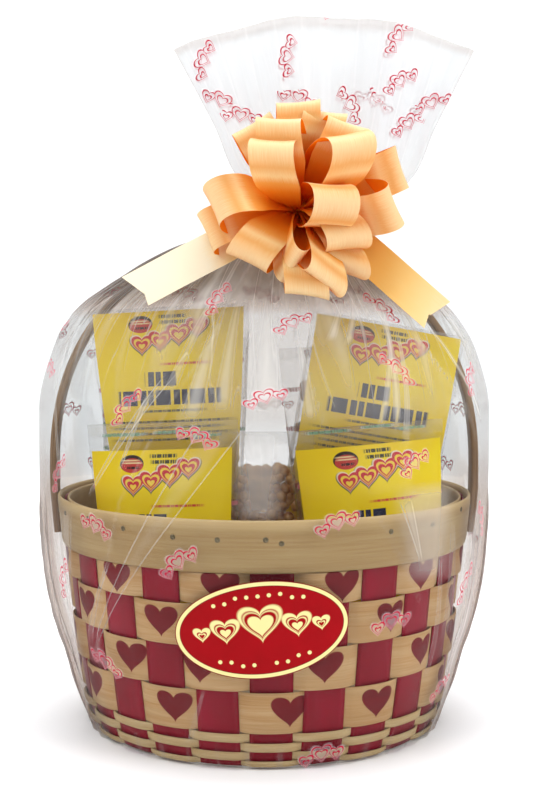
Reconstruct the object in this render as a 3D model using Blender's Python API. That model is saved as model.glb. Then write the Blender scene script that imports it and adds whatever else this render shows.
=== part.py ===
"""Snack gift basket: a woven splint basket of snack packs, wrapped in clear film and tied with a bow."""

import math

import bmesh
import bpy
from mathutils import Matrix, Vector

# Everything is in metres, +Z up. The origin is the middle of the foot, on the basket's axis.
# The front, with the oval label, faces -Y. Angles go round from the front, positive to the right.
MM = 0.001
GAP = 0.3 * MM

# Basket wall: flat stakes standing in a ring, with weavers passing outside and inside them in turn.
STAKE_COUNT = 24
STAKE_PITCH = math.tau / STAKE_COUNT
STAKE_START = math.radians(2.0)
STAKE_WIDTH = 29.5 * MM
STAKE_THICKNESS = 1.2 * MM
STAKE_FOOT = 1.6 * MM
STAKE_TOP = 172.0 * MM
FOOT_RADIUS = 130.3 * MM
WALL_FLARE = 21.0 * MM
WALL_REFERENCE = 135.0 * MM
WALL_CURVE = 0.56

# Weaver rows, counted from the top: four wide splints and then four narrow reeds.
WEAVER_EDGES = [139.5 * MM, 117.0 * MM, 87.0 * MM, 56.7 * MM, 26.5 * MM]
WEAVER_THICKNESS = 1.4 * MM
WEAVER_BULGE = 1.0 * MM
REED_EDGES = [26.5 * MM, 19.8 * MM, 13.0 * MM, 6.3 * MM, 1.4 * MM]
REED_THICKNESS = 2.2 * MM
ROW_GAP = 0.7 * MM
STAKE_CLEARANCE_ANGLE = math.radians(0.25)

# Rim: a wide band outside the stakes and a narrower one inside them.
RIM_TOP = 175.5 * MM
RIM_BOTTOM = 139.5 * MM
RIM_TOP_RADIUS = 160.0 * MM
RIM_BOTTOM_RADIUS = 156.6 * MM
RIM_THICKNESS = 3.0 * MM
INNER_RIM_BOTTOM = 146.0 * MM
INNER_RIM_TOP = 173.5 * MM
INNER_RIM_BOTTOM_RADIUS = 150.4 * MM
INNER_RIM_TOP_RADIUS = 152.6 * MM
INNER_RIM_THICKNESS = 2.4 * MM
RIM_SEGMENTS = 48

BASE_RADIUS = 126.0 * MM
BASE_BOTTOM = 1.2 * MM
BASE_THICKNESS = 4.0 * MM

# Handle: one bent wooden strip whose legs are fixed outside the rim, at the left and right.
HANDLE_DEPTH = 18.0 * MM
HANDLE_THICKNESS = 6.0 * MM
HANDLE_FOOT = 143.0 * MM
HANDLE_SPRING = 195.0 * MM
HANDLE_TOP = 366.0 * MM
HANDLE_HALF_WIDTH = 163.7 * MM
HANDLE_FOOT_HALF_WIDTH = 160.7 * MM
HANDLE_ROUNDNESS = 2.2
HANDLE_ARCH_STEPS = 22

# Film wrap. Each ring is height, half-width, half-depth, sideways shift and gather, in millimetres.
FILM_THICKNESS = 0.8 * MM
FILM_SIDES = 40
FILM_GATHERS = 10
FILM_BODY = [
    (0.0, 137.0, 137.0, 0.0, 0.0),
    (24.0, 144.6, 144.6, 0.0, 0.0),
    (56.0, 153.5, 150.5, 0.0, 0.0),
    (87.0, 163.6, 154.8, 0.0, 0.0),
    (126.0, 170.0, 159.5, 0.0, 0.0),
    (180.0, 173.0, 164.5, 0.0, 0.0),
    (240.0, 174.0, 134.0, 0.0, 0.0),
    (283.0, 164.5, 104.0, 0.0, 0.0),
    (312.0, 148.0, 80.0, 0.0, 0.01),
    (341.0, 112.0, 56.0, 3.0, 0.03),
    (365.0, 75.0, 33.0, 10.0, 0.06),
    (383.0, 19.0, 15.0, 24.0, 0.0),
    (395.0, 18.0, 14.0, 26.0, 0.0),
]
# Above the neck the gathered film opens into a flat fan, its top edge an arc.
FILM_FAN = [
    (403.0, 42.0, 12.0, 38.0),
    (414.0, 64.5, 10.0, 47.0),
    (456.0, 85.0, 9.0, 47.0),
    (514.0, 115.0, 9.0, 46.0),
]
FAN_ARC_RISE = [0.0, 0.0, 6.0 * MM, 24.0 * MM]
FAN_WAVE = [0.0, 0.0, 2.5 * MM, 6.0 * MM]
NECK = Vector((25.0 * MM, 0.0, 389.5 * MM))

# Oval label stuck on the film.
LABEL_CENTRE_X = -1.3 * MM
LABEL_CENTRE_Z = 102.2 * MM
LABEL_HALF_WIDTH = 58.4 * MM
LABEL_HALF_HEIGHT = 33.6 * MM
LABEL_TILT = math.radians(6.5)
LABEL_THICKNESS = 0.6 * MM
LABEL_STAND_OFF = 0.8 * MM
LABEL_SIDES = 20
LABEL_RINGS = 3

# Snack pouches: clear pillow bags, four of them with a printed card over the front.
POUCH_SEAL = 0.6 * MM
POUCH_COLUMNS = [-1.0, -0.94, -0.55, 0.0, 0.55, 0.94, 1.0]
POUCH_ROWS = [0.0, 0.06, 0.28, 0.55, 0.80, 0.95, 1.0]
POUCH_TAPER = 0.12
CARD_THICKNESS = 0.6 * MM
# Name, then width, height, depth, middle x, middle y, foot z in millimetres, then yaw and roll in degrees.
POUCHES = [
    ("front_left", 117.0, 146.0, 30.0, -73.5, -74.0, 76.0, -16.5, 1.5),
    ("front_right", 117.0, 150.0, 30.0, 76.0, -74.0, 76.0, 16.5, -2.0),
    ("back_left", 121.0, 189.0, 28.0, -71.0, -29.0, 129.0, -8.0, -2.6),
    ("back_right", 119.0, 172.0, 26.0, 62.0, -28.0, 139.0, 9.0, 9.6),
]
CLEAR_BAGS = [
    ("middle", 70.0, 160.0, 17.0, 2.0, -60.0, 66.0, 0.0, 0.0),
    ("rear_left", 118.0, 168.0, 32.0, -78.0, 36.0, 128.0, 10.0, 2.0),
    ("rear_right", 118.0, 160.0, 32.0, 78.0, 36.0, 128.0, -10.0, -3.0),
]

# Bed of crumpled filler under the packs, low in front and high behind.
BED_FOOT = 5.6 * MM
BED_FRONT = 46.0 * MM
BED_BACK = 116.0 * MM
BED_STEP_START = -52.0 * MM
BED_STEP_END = -28.0 * MM
BED_RADII = [0.0, 40.0 * MM, 66.0 * MM, 92.0 * MM, 118.0 * MM]
BED_SIDES = 20

# Ribbon bow: loops of satin ribbon that leave one knot in front of the neck.
RIBBON_HALF_WIDTH = 16.0 * MM
RIBBON_THICKNESS = 1.0 * MM
KNOT = Vector((25.0 * MM, -36.0 * MM, 389.0 * MM))
KNOT_RADIUS = 14.0 * MM
TIE_RADIUS = 20.6 * MM
TIE_HALF_HEIGHT = 5.0 * MM
TIE_THICKNESS = 1.6 * MM
TIE_STEPS = 20
LOOP_STEPS = 9
# Clock angle from straight up, lean towards the front and twist in degrees, then length and opening in mm.
LOOPS = [
    (0.0, 12.0, 0.0, 81.0, 30.0),
    (-30.0, 10.0, 0.0, 79.0, 28.0),
    (-13.0, 36.0, -6.0, 80.0, 34.0),
    (-28.0, 52.0, -18.0, 77.0, 40.0),
    (-89.0, 35.0, 0.0, 80.0, 38.0),
    (-101.0, 18.0, -8.0, 78.0, 28.0),
    (16.0, 14.0, 4.0, 80.0, 28.0),
    (29.0, 24.0, 10.0, 83.0, 30.0),
    (37.0, 44.0, 26.0, 80.0, 40.0),
    (69.0, 10.0, 0.0, 85.0, 30.0),
    (92.0, 28.0, 0.0, 81.0, 34.0),
    (90.0, 70.0, 84.0, 75.0, 38.0),
    (125.0, 50.0, -42.0, 76.0, 32.0),
    (146.0, 38.0, -34.0, 81.0, 28.0),
    (172.0, 42.0, -6.0, 90.0, 24.0),
    (-171.0, 50.0, 60.0, 71.0, 20.0),
    (-142.0, 42.0, 30.0, 76.0, 32.0),
]
TAIL_LEFT = [
    (20.0, -36.0, 387.0),
    (-4.0, -46.0, 377.0),
    (-34.0, -52.0, 361.0),
    (-64.0, -56.0, 345.0),
    (-92.0, -60.0, 330.0),
]
TAIL_RIGHT = [
    (30.0, -36.0, 387.0),
    (56.0, -50.0, 372.0),
    (80.0, -57.0, 352.0),
    (102.0, -61.0, 332.0),
    (124.0, -64.0, 313.0),
]
TAIL_LEFT_ACROSS = Vector((0.30, -0.45, -0.84))
TAIL_RIGHT_ACROSS = Vector((-0.35, -0.40, -0.85))
TAIL_CUT = 9.0 * MM
TAIL_WIDTH_SHARES = (0.5, 0.95, 1.0, 1.0, 1.0)


def around(radius, angle, height):
    return Vector((radius * math.sin(angle), -radius * math.cos(angle), height))


def between(value, points):
    """Straight-line reading of a profile given as (position, value) pairs in rising order."""
    for (low, at_low), (high, at_high) in zip(points, points[1:]):
        if value <= high:
            share = (value - low) / (high - low)
            return at_low + share * (at_high - at_low)
    return points[-1][1]


def finish(name, colour, roughness, metallic=0.0, alpha=1.0):
    material = bpy.data.materials.new(name)
    material.use_nodes = True
    shader = material.node_tree.nodes["Principled BSDF"]
    shader.inputs["Base Color"].default_value = (*colour, 1.0)
    shader.inputs["Roughness"].default_value = roughness
    shader.inputs["Metallic"].default_value = metallic
    shader.inputs["Alpha"].default_value = alpha
    return material


def solid(name, points, faces, material, smooth_angle=0.0, closed=True):
    mesh = bpy.data.meshes.new(name)
    mesh.from_pydata([tuple(point) for point in points], [], faces)
    if closed:
        work = bmesh.new()
        work.from_mesh(mesh)
        bmesh.ops.recalc_face_normals(work, faces=work.faces)
        work.to_mesh(mesh)
        work.free()
    if smooth_angle:
        mesh.shade_smooth()
        mesh.set_sharp_from_angle(angle=smooth_angle)
    mesh.materials.append(material)
    thing = bpy.data.objects.new(name, mesh)
    bpy.context.scene.collection.objects.link(thing)
    return thing


def loft(sections, closed):
    """Join equal rings of points; an open run is capped at both ends."""
    sides = len(sections[0])
    points = [point for section in sections for point in section]
    spans = len(sections) if closed else len(sections) - 1
    faces = []
    for step in range(spans):
        here = step * sides
        there = ((step + 1) % len(sections)) * sides
        for side in range(sides):
            after = (side + 1) % sides
            faces.append((here + side, here + after, there + after, there + side))
    if not closed:
        faces.append(tuple(reversed(range(sides))))
        faces.append(tuple(range((len(sections) - 1) * sides, len(sections) * sides)))
    return points, faces


def wall_radius(height):
    return FOOT_RADIUS + WALL_FLARE * (height / WALL_REFERENCE) ** WALL_CURVE


# The stakes bend only at these heights, and the weavers lie on the same straight runs.
STAKE_HEIGHTS = [STAKE_FOOT, REED_EDGES[2], REED_EDGES[0], WEAVER_EDGES[3], WEAVER_EDGES[1], STAKE_TOP]
STAKE_PROFILE = [(height, wall_radius(height)) for height in STAKE_HEIGHTS]


def stake_radius(height):
    return between(max(height, STAKE_FOOT), STAKE_PROFILE)


def half_stake_angle(height):
    return math.asin(STAKE_WIDTH / 2 / stake_radius(height))


def build_stake(index):
    middle = STAKE_START + index * STAKE_PITCH
    sections = []
    for height, radius in STAKE_PROFILE:
        half = math.asin(STAKE_WIDTH / 2 / radius)
        inner = radius - STAKE_THICKNESS / 2
        outer = radius + STAKE_THICKNESS / 2
        ring = [
            around(inner, middle - half, height),
            around(outer, middle - half, height),
            around(outer, middle + half, height),
            around(inner, middle + half, height),
        ]
        sections.append(ring)
    points, faces = loft(sections, closed=False)
    material = finish(f"crimson_stake_{index + 1:02d}", (0.36, 0.02, 0.04), 0.45)
    solid(f"stake_{index + 1:02d}", points, faces, material)


def build_row(name, row, low, high, thickness, bulge, material):
    """One closed weaver that runs outside one stake and inside the next, all the way round."""
    swing = STAKE_THICKNESS / 2 + GAP + thickness / 2
    sections = []
    for index in range(STAKE_COUNT):
        middle = STAKE_START + index * STAKE_PITCH
        side = 1 if (index + row) % 2 == 0 else -1
        reach = half_stake_angle(low) + STAKE_CLEARANCE_ANGLE
        stops = [(-reach, 0.0), (reach, 0.0)]
        if bulge:
            stops.insert(1, (0.0, bulge))
        for turn, extra in stops:
            offset = side * (swing + extra)
            ring = []
            for height, across in ((low, -1), (low, 1), (high, 1), (high, -1)):
                radius = stake_radius(height) + offset + across * thickness / 2
                ring.append(around(radius, middle + turn, height))
            sections.append(ring)
    points, faces = loft(sections, closed=True)
    solid(name, points, faces, material)


def build_band(name, low, high, low_radius, high_radius, thickness, material):
    sections = []
    for step in range(RIM_SEGMENTS):
        angle = math.tau * step / RIM_SEGMENTS
        ring = [
            around(low_radius - thickness, angle, low),
            around(low_radius, angle, low),
            around(high_radius, angle, high),
            around(high_radius - thickness, angle, high),
        ]
        sections.append(ring)
    points, faces = loft(sections, closed=True)
    solid(name, points, faces, material, math.radians(40))


def build_basket():
    for index in range(STAKE_COUNT):
        build_stake(index)
    for row, (high, low) in enumerate(zip(WEAVER_EDGES, WEAVER_EDGES[1:]), start=1):
        wood = finish(f"heart_print_splint_{row}", (0.60, 0.42, 0.22), 0.6)
        low_edge = low + ROW_GAP / 2
        high_edge = high - ROW_GAP / 2
        build_row(f"weaver_{row}", row, low_edge, high_edge, WEAVER_THICKNESS, WEAVER_BULGE, wood)
    for number, (high, low) in enumerate(zip(REED_EDGES, REED_EDGES[1:]), start=1):
        wood = finish(f"natural_reed_{number}", (0.62, 0.45, 0.25), 0.6)
        row = number + len(WEAVER_EDGES) - 1
        low_edge = low + ROW_GAP / 2
        high_edge = high - ROW_GAP / 2
        build_row(f"reed_{number}", row, low_edge, high_edge, REED_THICKNESS, 0.0, wood)
    rim_wood = finish("natural_rim_splint", (0.58, 0.42, 0.24), 0.55)
    build_band("rim_outer", RIM_BOTTOM, RIM_TOP, RIM_BOTTOM_RADIUS, RIM_TOP_RADIUS, RIM_THICKNESS, rim_wood)
    inner_wood = finish("inner_rim_splint", (0.55, 0.40, 0.22), 0.6)
    build_band(
        "rim_inner",
        INNER_RIM_BOTTOM,
        INNER_RIM_TOP,
        INNER_RIM_BOTTOM_RADIUS,
        INNER_RIM_TOP_RADIUS,
        INNER_RIM_THICKNESS,
        inner_wood,
    )
    low = [around(BASE_RADIUS, math.tau * step / RIM_SEGMENTS, BASE_BOTTOM) for step in range(RIM_SEGMENTS)]
    high = [point + Vector((0.0, 0.0, BASE_THICKNESS)) for point in low]
    points, faces = loft([low, high], closed=False)
    solid("base_board", points, faces, finish("plywood_base", (0.55, 0.40, 0.24), 0.65))


def build_handle():
    spine = [
        Vector((-HANDLE_FOOT_HALF_WIDTH, 0.0, HANDLE_FOOT)),
        Vector((-HANDLE_HALF_WIDTH, 0.0, RIM_TOP)),
    ]
    for step in range(HANDLE_ARCH_STEPS + 1):
        turn = math.pi * step / HANDLE_ARCH_STEPS
        power = 2.0 / HANDLE_ROUNDNESS
        sideways = math.copysign(abs(math.cos(turn)) ** power, -math.cos(turn))
        upward = abs(math.sin(turn)) ** power
        height = HANDLE_SPRING + (HANDLE_TOP - HANDLE_SPRING) * upward
        spine.append(Vector((HANDLE_HALF_WIDTH * sideways, 0.0, height)))
    spine.append(Vector((HANDLE_HALF_WIDTH, 0.0, RIM_TOP)))
    spine.append(Vector((HANDLE_FOOT_HALF_WIDTH, 0.0, HANDLE_FOOT)))
    sections = []
    for index, point in enumerate(spine):
        before = spine[max(index - 1, 0)]
        after = spine[min(index + 1, len(spine) - 1)]
        along = (after - before).normalized()
        outward = Vector((-along.z, 0.0, along.x)) * HANDLE_THICKNESS / 2
        across = Vector((0.0, HANDLE_DEPTH / 2, 0.0))
        sections.append([
            point - outward - across,
            point + outward - across,
            point + outward + across,
            point - outward + across,
        ])
    points, faces = loft(sections, closed=False)
    solid("handle", points, faces, finish("bent_wood_handle", (0.35, 0.24, 0.17), 0.5), math.radians(35))


def film_ring(height, half_width, half_depth, shift, gather=0.0, rise=0.0, wave=0.0):
    ring = []
    for step in range(FILM_SIDES):
        angle = math.tau * step / FILM_SIDES
        pull = 1.0 + gather * math.cos(FILM_GATHERS * (angle - math.pi / 2))
        x = shift + half_width * pull * math.sin(angle)
        y = -half_depth * pull * math.cos(angle)
        y += wave * math.sin(1.5 * math.pi * math.sin(angle))
        ring.append(Vector((x, y, height + rise * math.cos(angle) ** 2)))
    return ring


def build_wrap():
    rings = []
    for height, half_width, half_depth, shift, gather in FILM_BODY:
        rings.append(film_ring(height * MM, half_width * MM, half_depth * MM, shift * MM, gather))
    for (height, half_width, half_depth, shift), rise, wave in zip(FILM_FAN, FAN_ARC_RISE, FAN_WAVE):
        ring = film_ring(height * MM, half_width * MM, half_depth * MM, shift * MM, 0.0, rise, wave)
        rings.append(ring)
    points, faces = loft(rings, closed=False)
    faces.pop()
    clear = finish("clear_film", (0.92, 0.93, 0.95), 0.1, 0.0, 0.3)
    wrap = solid("wrap_film", points, faces, clear, math.radians(30), closed=False)
    wall = wrap.modifiers.new("film_thickness", "SOLIDIFY")
    wall.thickness = FILM_THICKNESS
    wall.offset = -1.0
    wall.use_rim = True


def film_front(height):
    return between(height, [(ring[0] * MM, ring[2] * MM) for ring in FILM_BODY])


def film_side(height):
    return between(height, [(ring[0] * MM, ring[1] * MM) for ring in FILM_BODY])


def build_label():
    sheets = []
    for layer in range(2):
        stand_off = LABEL_STAND_OFF + layer * LABEL_THICKNESS
        sheet = []
        for ring in range(1, LABEL_RINGS + 1):
            share = ring / LABEL_RINGS
            for step in range(LABEL_SIDES):
                turn = math.tau * step / LABEL_SIDES
                across = share * LABEL_HALF_WIDTH * math.cos(turn)
                upward = share * LABEL_HALF_HEIGHT * math.sin(turn)
                x = LABEL_CENTRE_X + across * math.cos(LABEL_TILT) - upward * math.sin(LABEL_TILT)
                z = LABEL_CENTRE_Z + across * math.sin(LABEL_TILT) + upward * math.cos(LABEL_TILT)
                depth = film_front(z) * math.sqrt(1.0 - (x / film_side(z)) ** 2)
                sheet.append(Vector((x, -depth - stand_off, z)))
        centre_depth = film_front(LABEL_CENTRE_Z) + stand_off
        sheet.append(Vector((LABEL_CENTRE_X, -centre_depth, LABEL_CENTRE_Z)))
        sheets.append(sheet)
    count = len(sheets[0])
    faces = []
    for layer in range(2):
        start = layer * count
        for step in range(LABEL_SIDES):
            after = (step + 1) % LABEL_SIDES
            faces.append((start + count - 1, start + step, start + after))
            for ring in range(LABEL_RINGS - 1):
                inner = start + ring * LABEL_SIDES
                outer = inner + LABEL_SIDES
                faces.append((inner + step, outer + step, outer + after, inner + after))
    for step in range(LABEL_SIDES):
        after = (step + 1) % LABEL_SIDES
        near = (LABEL_RINGS - 1) * LABEL_SIDES + step
        far = (LABEL_RINGS - 1) * LABEL_SIDES + after
        faces.append((near, far, count + far, count + near))
    paper = finish("label_paper", (0.5, 0.01, 0.02), 0.3)
    solid("oval_label", sheets[0] + sheets[1], faces, paper, math.radians(30))


def pouch_place(size):
    middle_x, middle_y, foot, yaw, roll = size
    place = Matrix.Translation(Vector((middle_x * MM, middle_y * MM, foot * MM)))
    return place @ Matrix.Rotation(math.radians(yaw), 4, "Z") @ Matrix.Rotation(math.radians(roll), 4, "Y")


def pouch_point(width, height, depth, column, row, side):
    """A point of the pillow; side is -1 on the front, +1 on the back and 0 on the sealed edge."""
    narrow = 1.0 - POUCH_TAPER * max(0.0, 1.0 - row / 0.6) ** 1.5
    belly = math.sqrt(max(0.0, 1.0 - column ** 2)) * math.sin(math.pi * row) ** 0.6
    y = side * (POUCH_SEAL / 2 + (depth / 2 - POUCH_SEAL) * belly)
    return Vector((column * width / 2 * narrow, y, row * height))


def build_pouch(name, size, colour, card_colour=None):
    width, height, depth = (value * MM for value in size[:3])
    place = pouch_place(size[3:])
    last_column = len(POUCH_COLUMNS) - 1
    last_row = len(POUCH_ROWS) - 1
    points = []
    index = {}
    for i, column in enumerate(POUCH_COLUMNS):
        for j, row in enumerate(POUCH_ROWS):
            edge = i in (0, last_column) or j in (0, last_row)
            for side in ((0,) if edge else (-1, 1)):
                index[i, j, side] = len(points)
                points.append(place @ pouch_point(width, height, depth, column, row, side))
            if edge:
                index[i, j, -1] = index[i, j, 0]
                index[i, j, 1] = index[i, j, 0]
    faces = []
    for side in (-1, 1):
        for i in range(last_column):
            for j in range(last_row):
                a = index[i, j, side]
                b = index[i + 1, j, side]
                c = index[i + 1, j + 1, side]
                d = index[i, j + 1, side]
                faces.append((a, b, c))
                faces.append((a, c, d))
    solid(f"pouch_{name}", points, faces, finish(f"clear_pouch_{name}", colour, 0.15), math.radians(60))
    if card_colour is None:
        return
    columns = range(1, last_column)
    rows = range(1, last_row)
    card_points = []
    for stand_off in (GAP, GAP + CARD_THICKNESS):
        for i in columns:
            for j in rows:
                point = pouch_point(width, height, depth, POUCH_COLUMNS[i], POUCH_ROWS[j], -1)
                card_points.append(place @ (point - Vector((0.0, stand_off, 0.0))))
    card_faces = card_plate_faces(len(columns), len(rows))
    print_finish = finish(f"card_{name}", card_colour, 0.35)
    solid(f"card_{name}", card_points, card_faces, print_finish, math.radians(60))


def card_plate_faces(columns, rows):
    """Faces of a plate of two equal sheets, split along the same diagonals as the pouch."""
    layer = columns * rows
    faces = []
    for start in (0, layer):
        for i in range(columns - 1):
            for j in range(rows - 1):
                a = start + i * rows + j
                b = a + rows
                faces.append((a, b, b + 1))
                faces.append((a, b + 1, a + 1))
    border = [i * rows for i in range(columns)]
    border += [(columns - 1) * rows + j for j in range(1, rows)]
    border += [i * rows + rows - 1 for i in range(columns - 2, -1, -1)]
    border += [j for j in range(rows - 2, 0, -1)]
    for here, there in zip(border, border[1:] + border[:1]):
        faces.append((here, there, layer + there, layer + here))
    return faces


def bed_height(x, y):
    share = min(max((y - BED_STEP_START) / (BED_STEP_END - BED_STEP_START), 0.0), 1.0)
    smooth = share * share * (3.0 - 2.0 * share)
    crumple = 3.0 * MM * math.sin(x / (11.0 * MM)) * math.cos(y / (13.0 * MM))
    return BED_FRONT + (BED_BACK - BED_FRONT) * smooth + crumple


def build_bed():
    points = []
    for radius in BED_RADII[1:]:
        for step in range(BED_SIDES):
            point = around(radius, math.tau * step / BED_SIDES, 0.0)
            points.append(Vector((point.x, point.y, bed_height(point.x, point.y))))
    for step in range(BED_SIDES):
        points.append(around(BED_RADII[-1], math.tau * step / BED_SIDES, BED_FOOT))
    top = len(points)
    points.append(Vector((0.0, 0.0, bed_height(0.0, 0.0))))
    faces = []
    rings = len(BED_RADII)
    for step in range(BED_SIDES):
        after = (step + 1) % BED_SIDES
        faces.append((top, step, after))
        for ring in range(rings - 1):
            here = ring * BED_SIDES
            there = here + BED_SIDES
            faces.append((here + step, there + step, there + after, here + after))
    foot = (rings - 1) * BED_SIDES
    faces.append(tuple(foot + step for step in range(BED_SIDES)))
    solid("filler_bed", points, faces, finish("crumpled_paper", (0.75, 0.70, 0.60), 0.9))


def strip(spine, across, half_widths, end_slants=(0.0, 0.0)):
    """A ribbon strip: a thin rectangle carried along the spine, its width lying along one direction."""
    sections = []
    last = len(spine) - 1
    for index, point in enumerate(spine):
        along = (spine[min(index + 1, last)] - spine[max(index - 1, 0)]).normalized()
        normal = along.cross(across).normalized() * RIBBON_THICKNESS / 2
        reach = across * half_widths[index]
        slant = along * (end_slants[1] if index == last else 0.0)
        sections.append([
            point - reach - normal - slant,
            point + reach - normal + slant,
            point + reach + normal + slant,
            point - reach + normal - slant,
        ])
    return loft(sections, closed=False)


def loop_spine(clock, lean, twist, length, opening):
    """Spine and width direction of one loop, a drop-shaped turn of ribbon with its point in the knot."""
    clock, lean, twist = (math.radians(angle) for angle in (clock, lean, twist))
    flat = Vector((math.sin(clock), 0.0, math.cos(clock)))
    outward = flat * math.cos(lean) + Vector((0.0, -math.sin(lean), 0.0))
    across = Vector((math.cos(clock), 0.0, -math.sin(clock)))
    across = Matrix.Rotation(twist, 3, outward) @ across
    rise = across.cross(outward)
    spine = []
    half_widths = []
    for step in range(LOOP_STEPS):
        turn = math.tau * step / (LOOP_STEPS - 1)
        reach = (1.0 - math.cos(turn)) / 2
        lift = math.sin(turn) * (0.45 + 0.6 * reach) * opening / 2
        spine.append(KNOT + outward * (length * reach + 2.0) * MM + rise * lift * MM)
        half_widths.append(RIBBON_HALF_WIDTH * (0.2 + 0.8 * min(1.0, 1.5 * reach)))
    return spine, across, half_widths


def keep_outer_shell(mesh):
    """Fill the hollows that joining sealed, and drop loose scraps, by keeping the largest shell alone."""
    work = bmesh.new()
    work.from_mesh(mesh)
    waiting = set(work.verts)
    shells = []
    while waiting:
        shell = {waiting.pop()}
        edge = list(shell)
        while edge:
            near = {link.other_vert(vert) for vert in edge for link in vert.link_edges}
            edge = list(near - shell)
            shell |= near
        waiting -= shell
        shells.append(shell)
    largest = max(shells, key=len)
    spare = [vert for vert in work.verts if vert not in largest]
    bmesh.ops.delete(work, geom=spare, context="VERTS")
    work.to_mesh(mesh)
    work.free()


def build_bow():
    satin = finish("satin_ribbon", (0.80, 0.45, 0.17), 0.35)
    pieces = []
    for number, (clock, lean, twist, length, opening) in enumerate(LOOPS):
        points, faces = strip(*loop_spine(clock, lean, twist, length, opening))
        pieces.append(solid(f"bow_piece_{number}", points, faces, satin))
    for spine, across in ((TAIL_LEFT, TAIL_LEFT_ACROSS), (TAIL_RIGHT, TAIL_RIGHT_ACROSS)):
        path = [Vector(point) * MM for point in spine]
        widths = [RIBBON_HALF_WIDTH * share for share in TAIL_WIDTH_SHARES]
        points, faces = strip(path, across.normalized(), widths, (0.0, TAIL_CUT))
        pieces.append(solid("bow_piece_tail", points, faces, satin))
    tie = []
    for step in range(TIE_STEPS):
        angle = math.tau * step / TIE_STEPS
        ring = []
        for thickness, height in ((0.0, -1), (TIE_THICKNESS, -1), (TIE_THICKNESS, 1), (0.0, 1)):
            ring.append(NECK + around(TIE_RADIUS + thickness, angle, height * TIE_HALF_HEIGHT))
        tie.append(ring)
    points, faces = loft(tie, closed=True)
    pieces.append(solid("bow_piece_tie", points, faces, satin))
    knot_mesh = bpy.data.meshes.new("ribbon_bow")
    work = bmesh.new()
    bmesh.ops.create_icosphere(work, subdivisions=1, radius=KNOT_RADIUS)
    bmesh.ops.scale(work, vec=(1.0, 1.35, 1.0), verts=work.verts)
    bmesh.ops.translate(work, vec=KNOT + Vector((0.0, 4.0 * MM, 0.0)), verts=work.verts)
    work.to_mesh(knot_mesh)
    work.free()
    knot_mesh.materials.append(satin)
    bow = bpy.data.objects.new("ribbon_bow", knot_mesh)
    bpy.context.scene.collection.objects.link(bow)
    group = bpy.data.collections.new("bow_pieces")
    for piece in pieces:
        group.objects.link(piece)
    join = bow.modifiers.new("join_ribbon", "BOOLEAN")
    join.operation = "UNION"
    join.operand_type = "COLLECTION"
    join.collection = group
    join.solver = "MANIFOLD"
    joined = bpy.data.meshes.new_from_object(bow.evaluated_get(bpy.context.evaluated_depsgraph_get()))
    bow.modifiers.remove(join)
    keep_outer_shell(joined)
    bow.data = joined
    for piece in pieces:
        bpy.data.objects.remove(piece)
    bpy.data.collections.remove(group)


def build():
    for thing in list(bpy.data.objects):
        bpy.data.objects.remove(thing)
    build_basket()
    build_handle()
    build_bed()
    yellow = (0.83, 0.62, 0.03)
    for name, *size in POUCHES:
        build_pouch(name, size, (0.85, 0.80, 0.70), yellow)
    for name, *size in CLEAR_BAGS:
        build_pouch(name, size, (0.75, 0.62, 0.45))
    build_wrap()
    build_label()
    build_bow()


build()
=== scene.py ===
import math
import random

import bmesh
import bpy
import numpy as np
from mathutils import Matrix, Vector, noise


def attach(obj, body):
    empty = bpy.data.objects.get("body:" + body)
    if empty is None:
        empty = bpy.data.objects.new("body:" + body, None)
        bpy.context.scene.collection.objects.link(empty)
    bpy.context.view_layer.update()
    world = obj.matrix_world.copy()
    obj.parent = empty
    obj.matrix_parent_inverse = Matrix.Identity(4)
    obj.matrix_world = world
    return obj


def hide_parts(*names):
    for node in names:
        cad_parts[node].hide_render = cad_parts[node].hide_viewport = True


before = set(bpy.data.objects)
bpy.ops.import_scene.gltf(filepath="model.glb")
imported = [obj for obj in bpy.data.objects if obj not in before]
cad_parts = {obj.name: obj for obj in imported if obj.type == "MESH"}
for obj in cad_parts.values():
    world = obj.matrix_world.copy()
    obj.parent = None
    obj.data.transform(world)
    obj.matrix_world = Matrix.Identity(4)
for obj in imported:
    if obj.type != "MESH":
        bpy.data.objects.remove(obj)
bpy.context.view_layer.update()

# Foot board and filler. A plain plywood disc closes the basket's foot, and crumpled paper props the packs up.
# Both lie out of sight under the packs, so the solids stay and only get their own finishes.
MM = 0.001
# Kinds of node that come up again and again.
MATH = "ShaderNodeMath"
VECTOR_MATH = "ShaderNodeVectorMath"
SPLIT = "ShaderNodeSeparateXYZ"
MAP_RANGE = "ShaderNodeMapRange"
RAMP = "ShaderNodeValToRGB"
MIX = "ShaderNodeMix"
NOISE = "ShaderNodeTexNoise"
UV = "ShaderNodeUVMap"
BUMP = "ShaderNodeBump"
PRINCIPLED = "ShaderNodeBsdfPrincipled"
RANDOM = "FunctionNodeRandomValue"
# A colour mix has several inputs of the same name, so these three go by number.
FACTOR, UNDER, OVER = 0, 6, 7


def linear(hex_colour):
    """A Blender linear colour from an sRGB hex string such as c8a878."""
    channels = [int(hex_colour[place:place + 2], 16) / 255 for place in (0, 2, 4)]
    return (*[c / 12.92 if c <= 0.04045 else ((c + 0.055) / 1.055) ** 2.4 for c in channels], 1.0)


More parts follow.
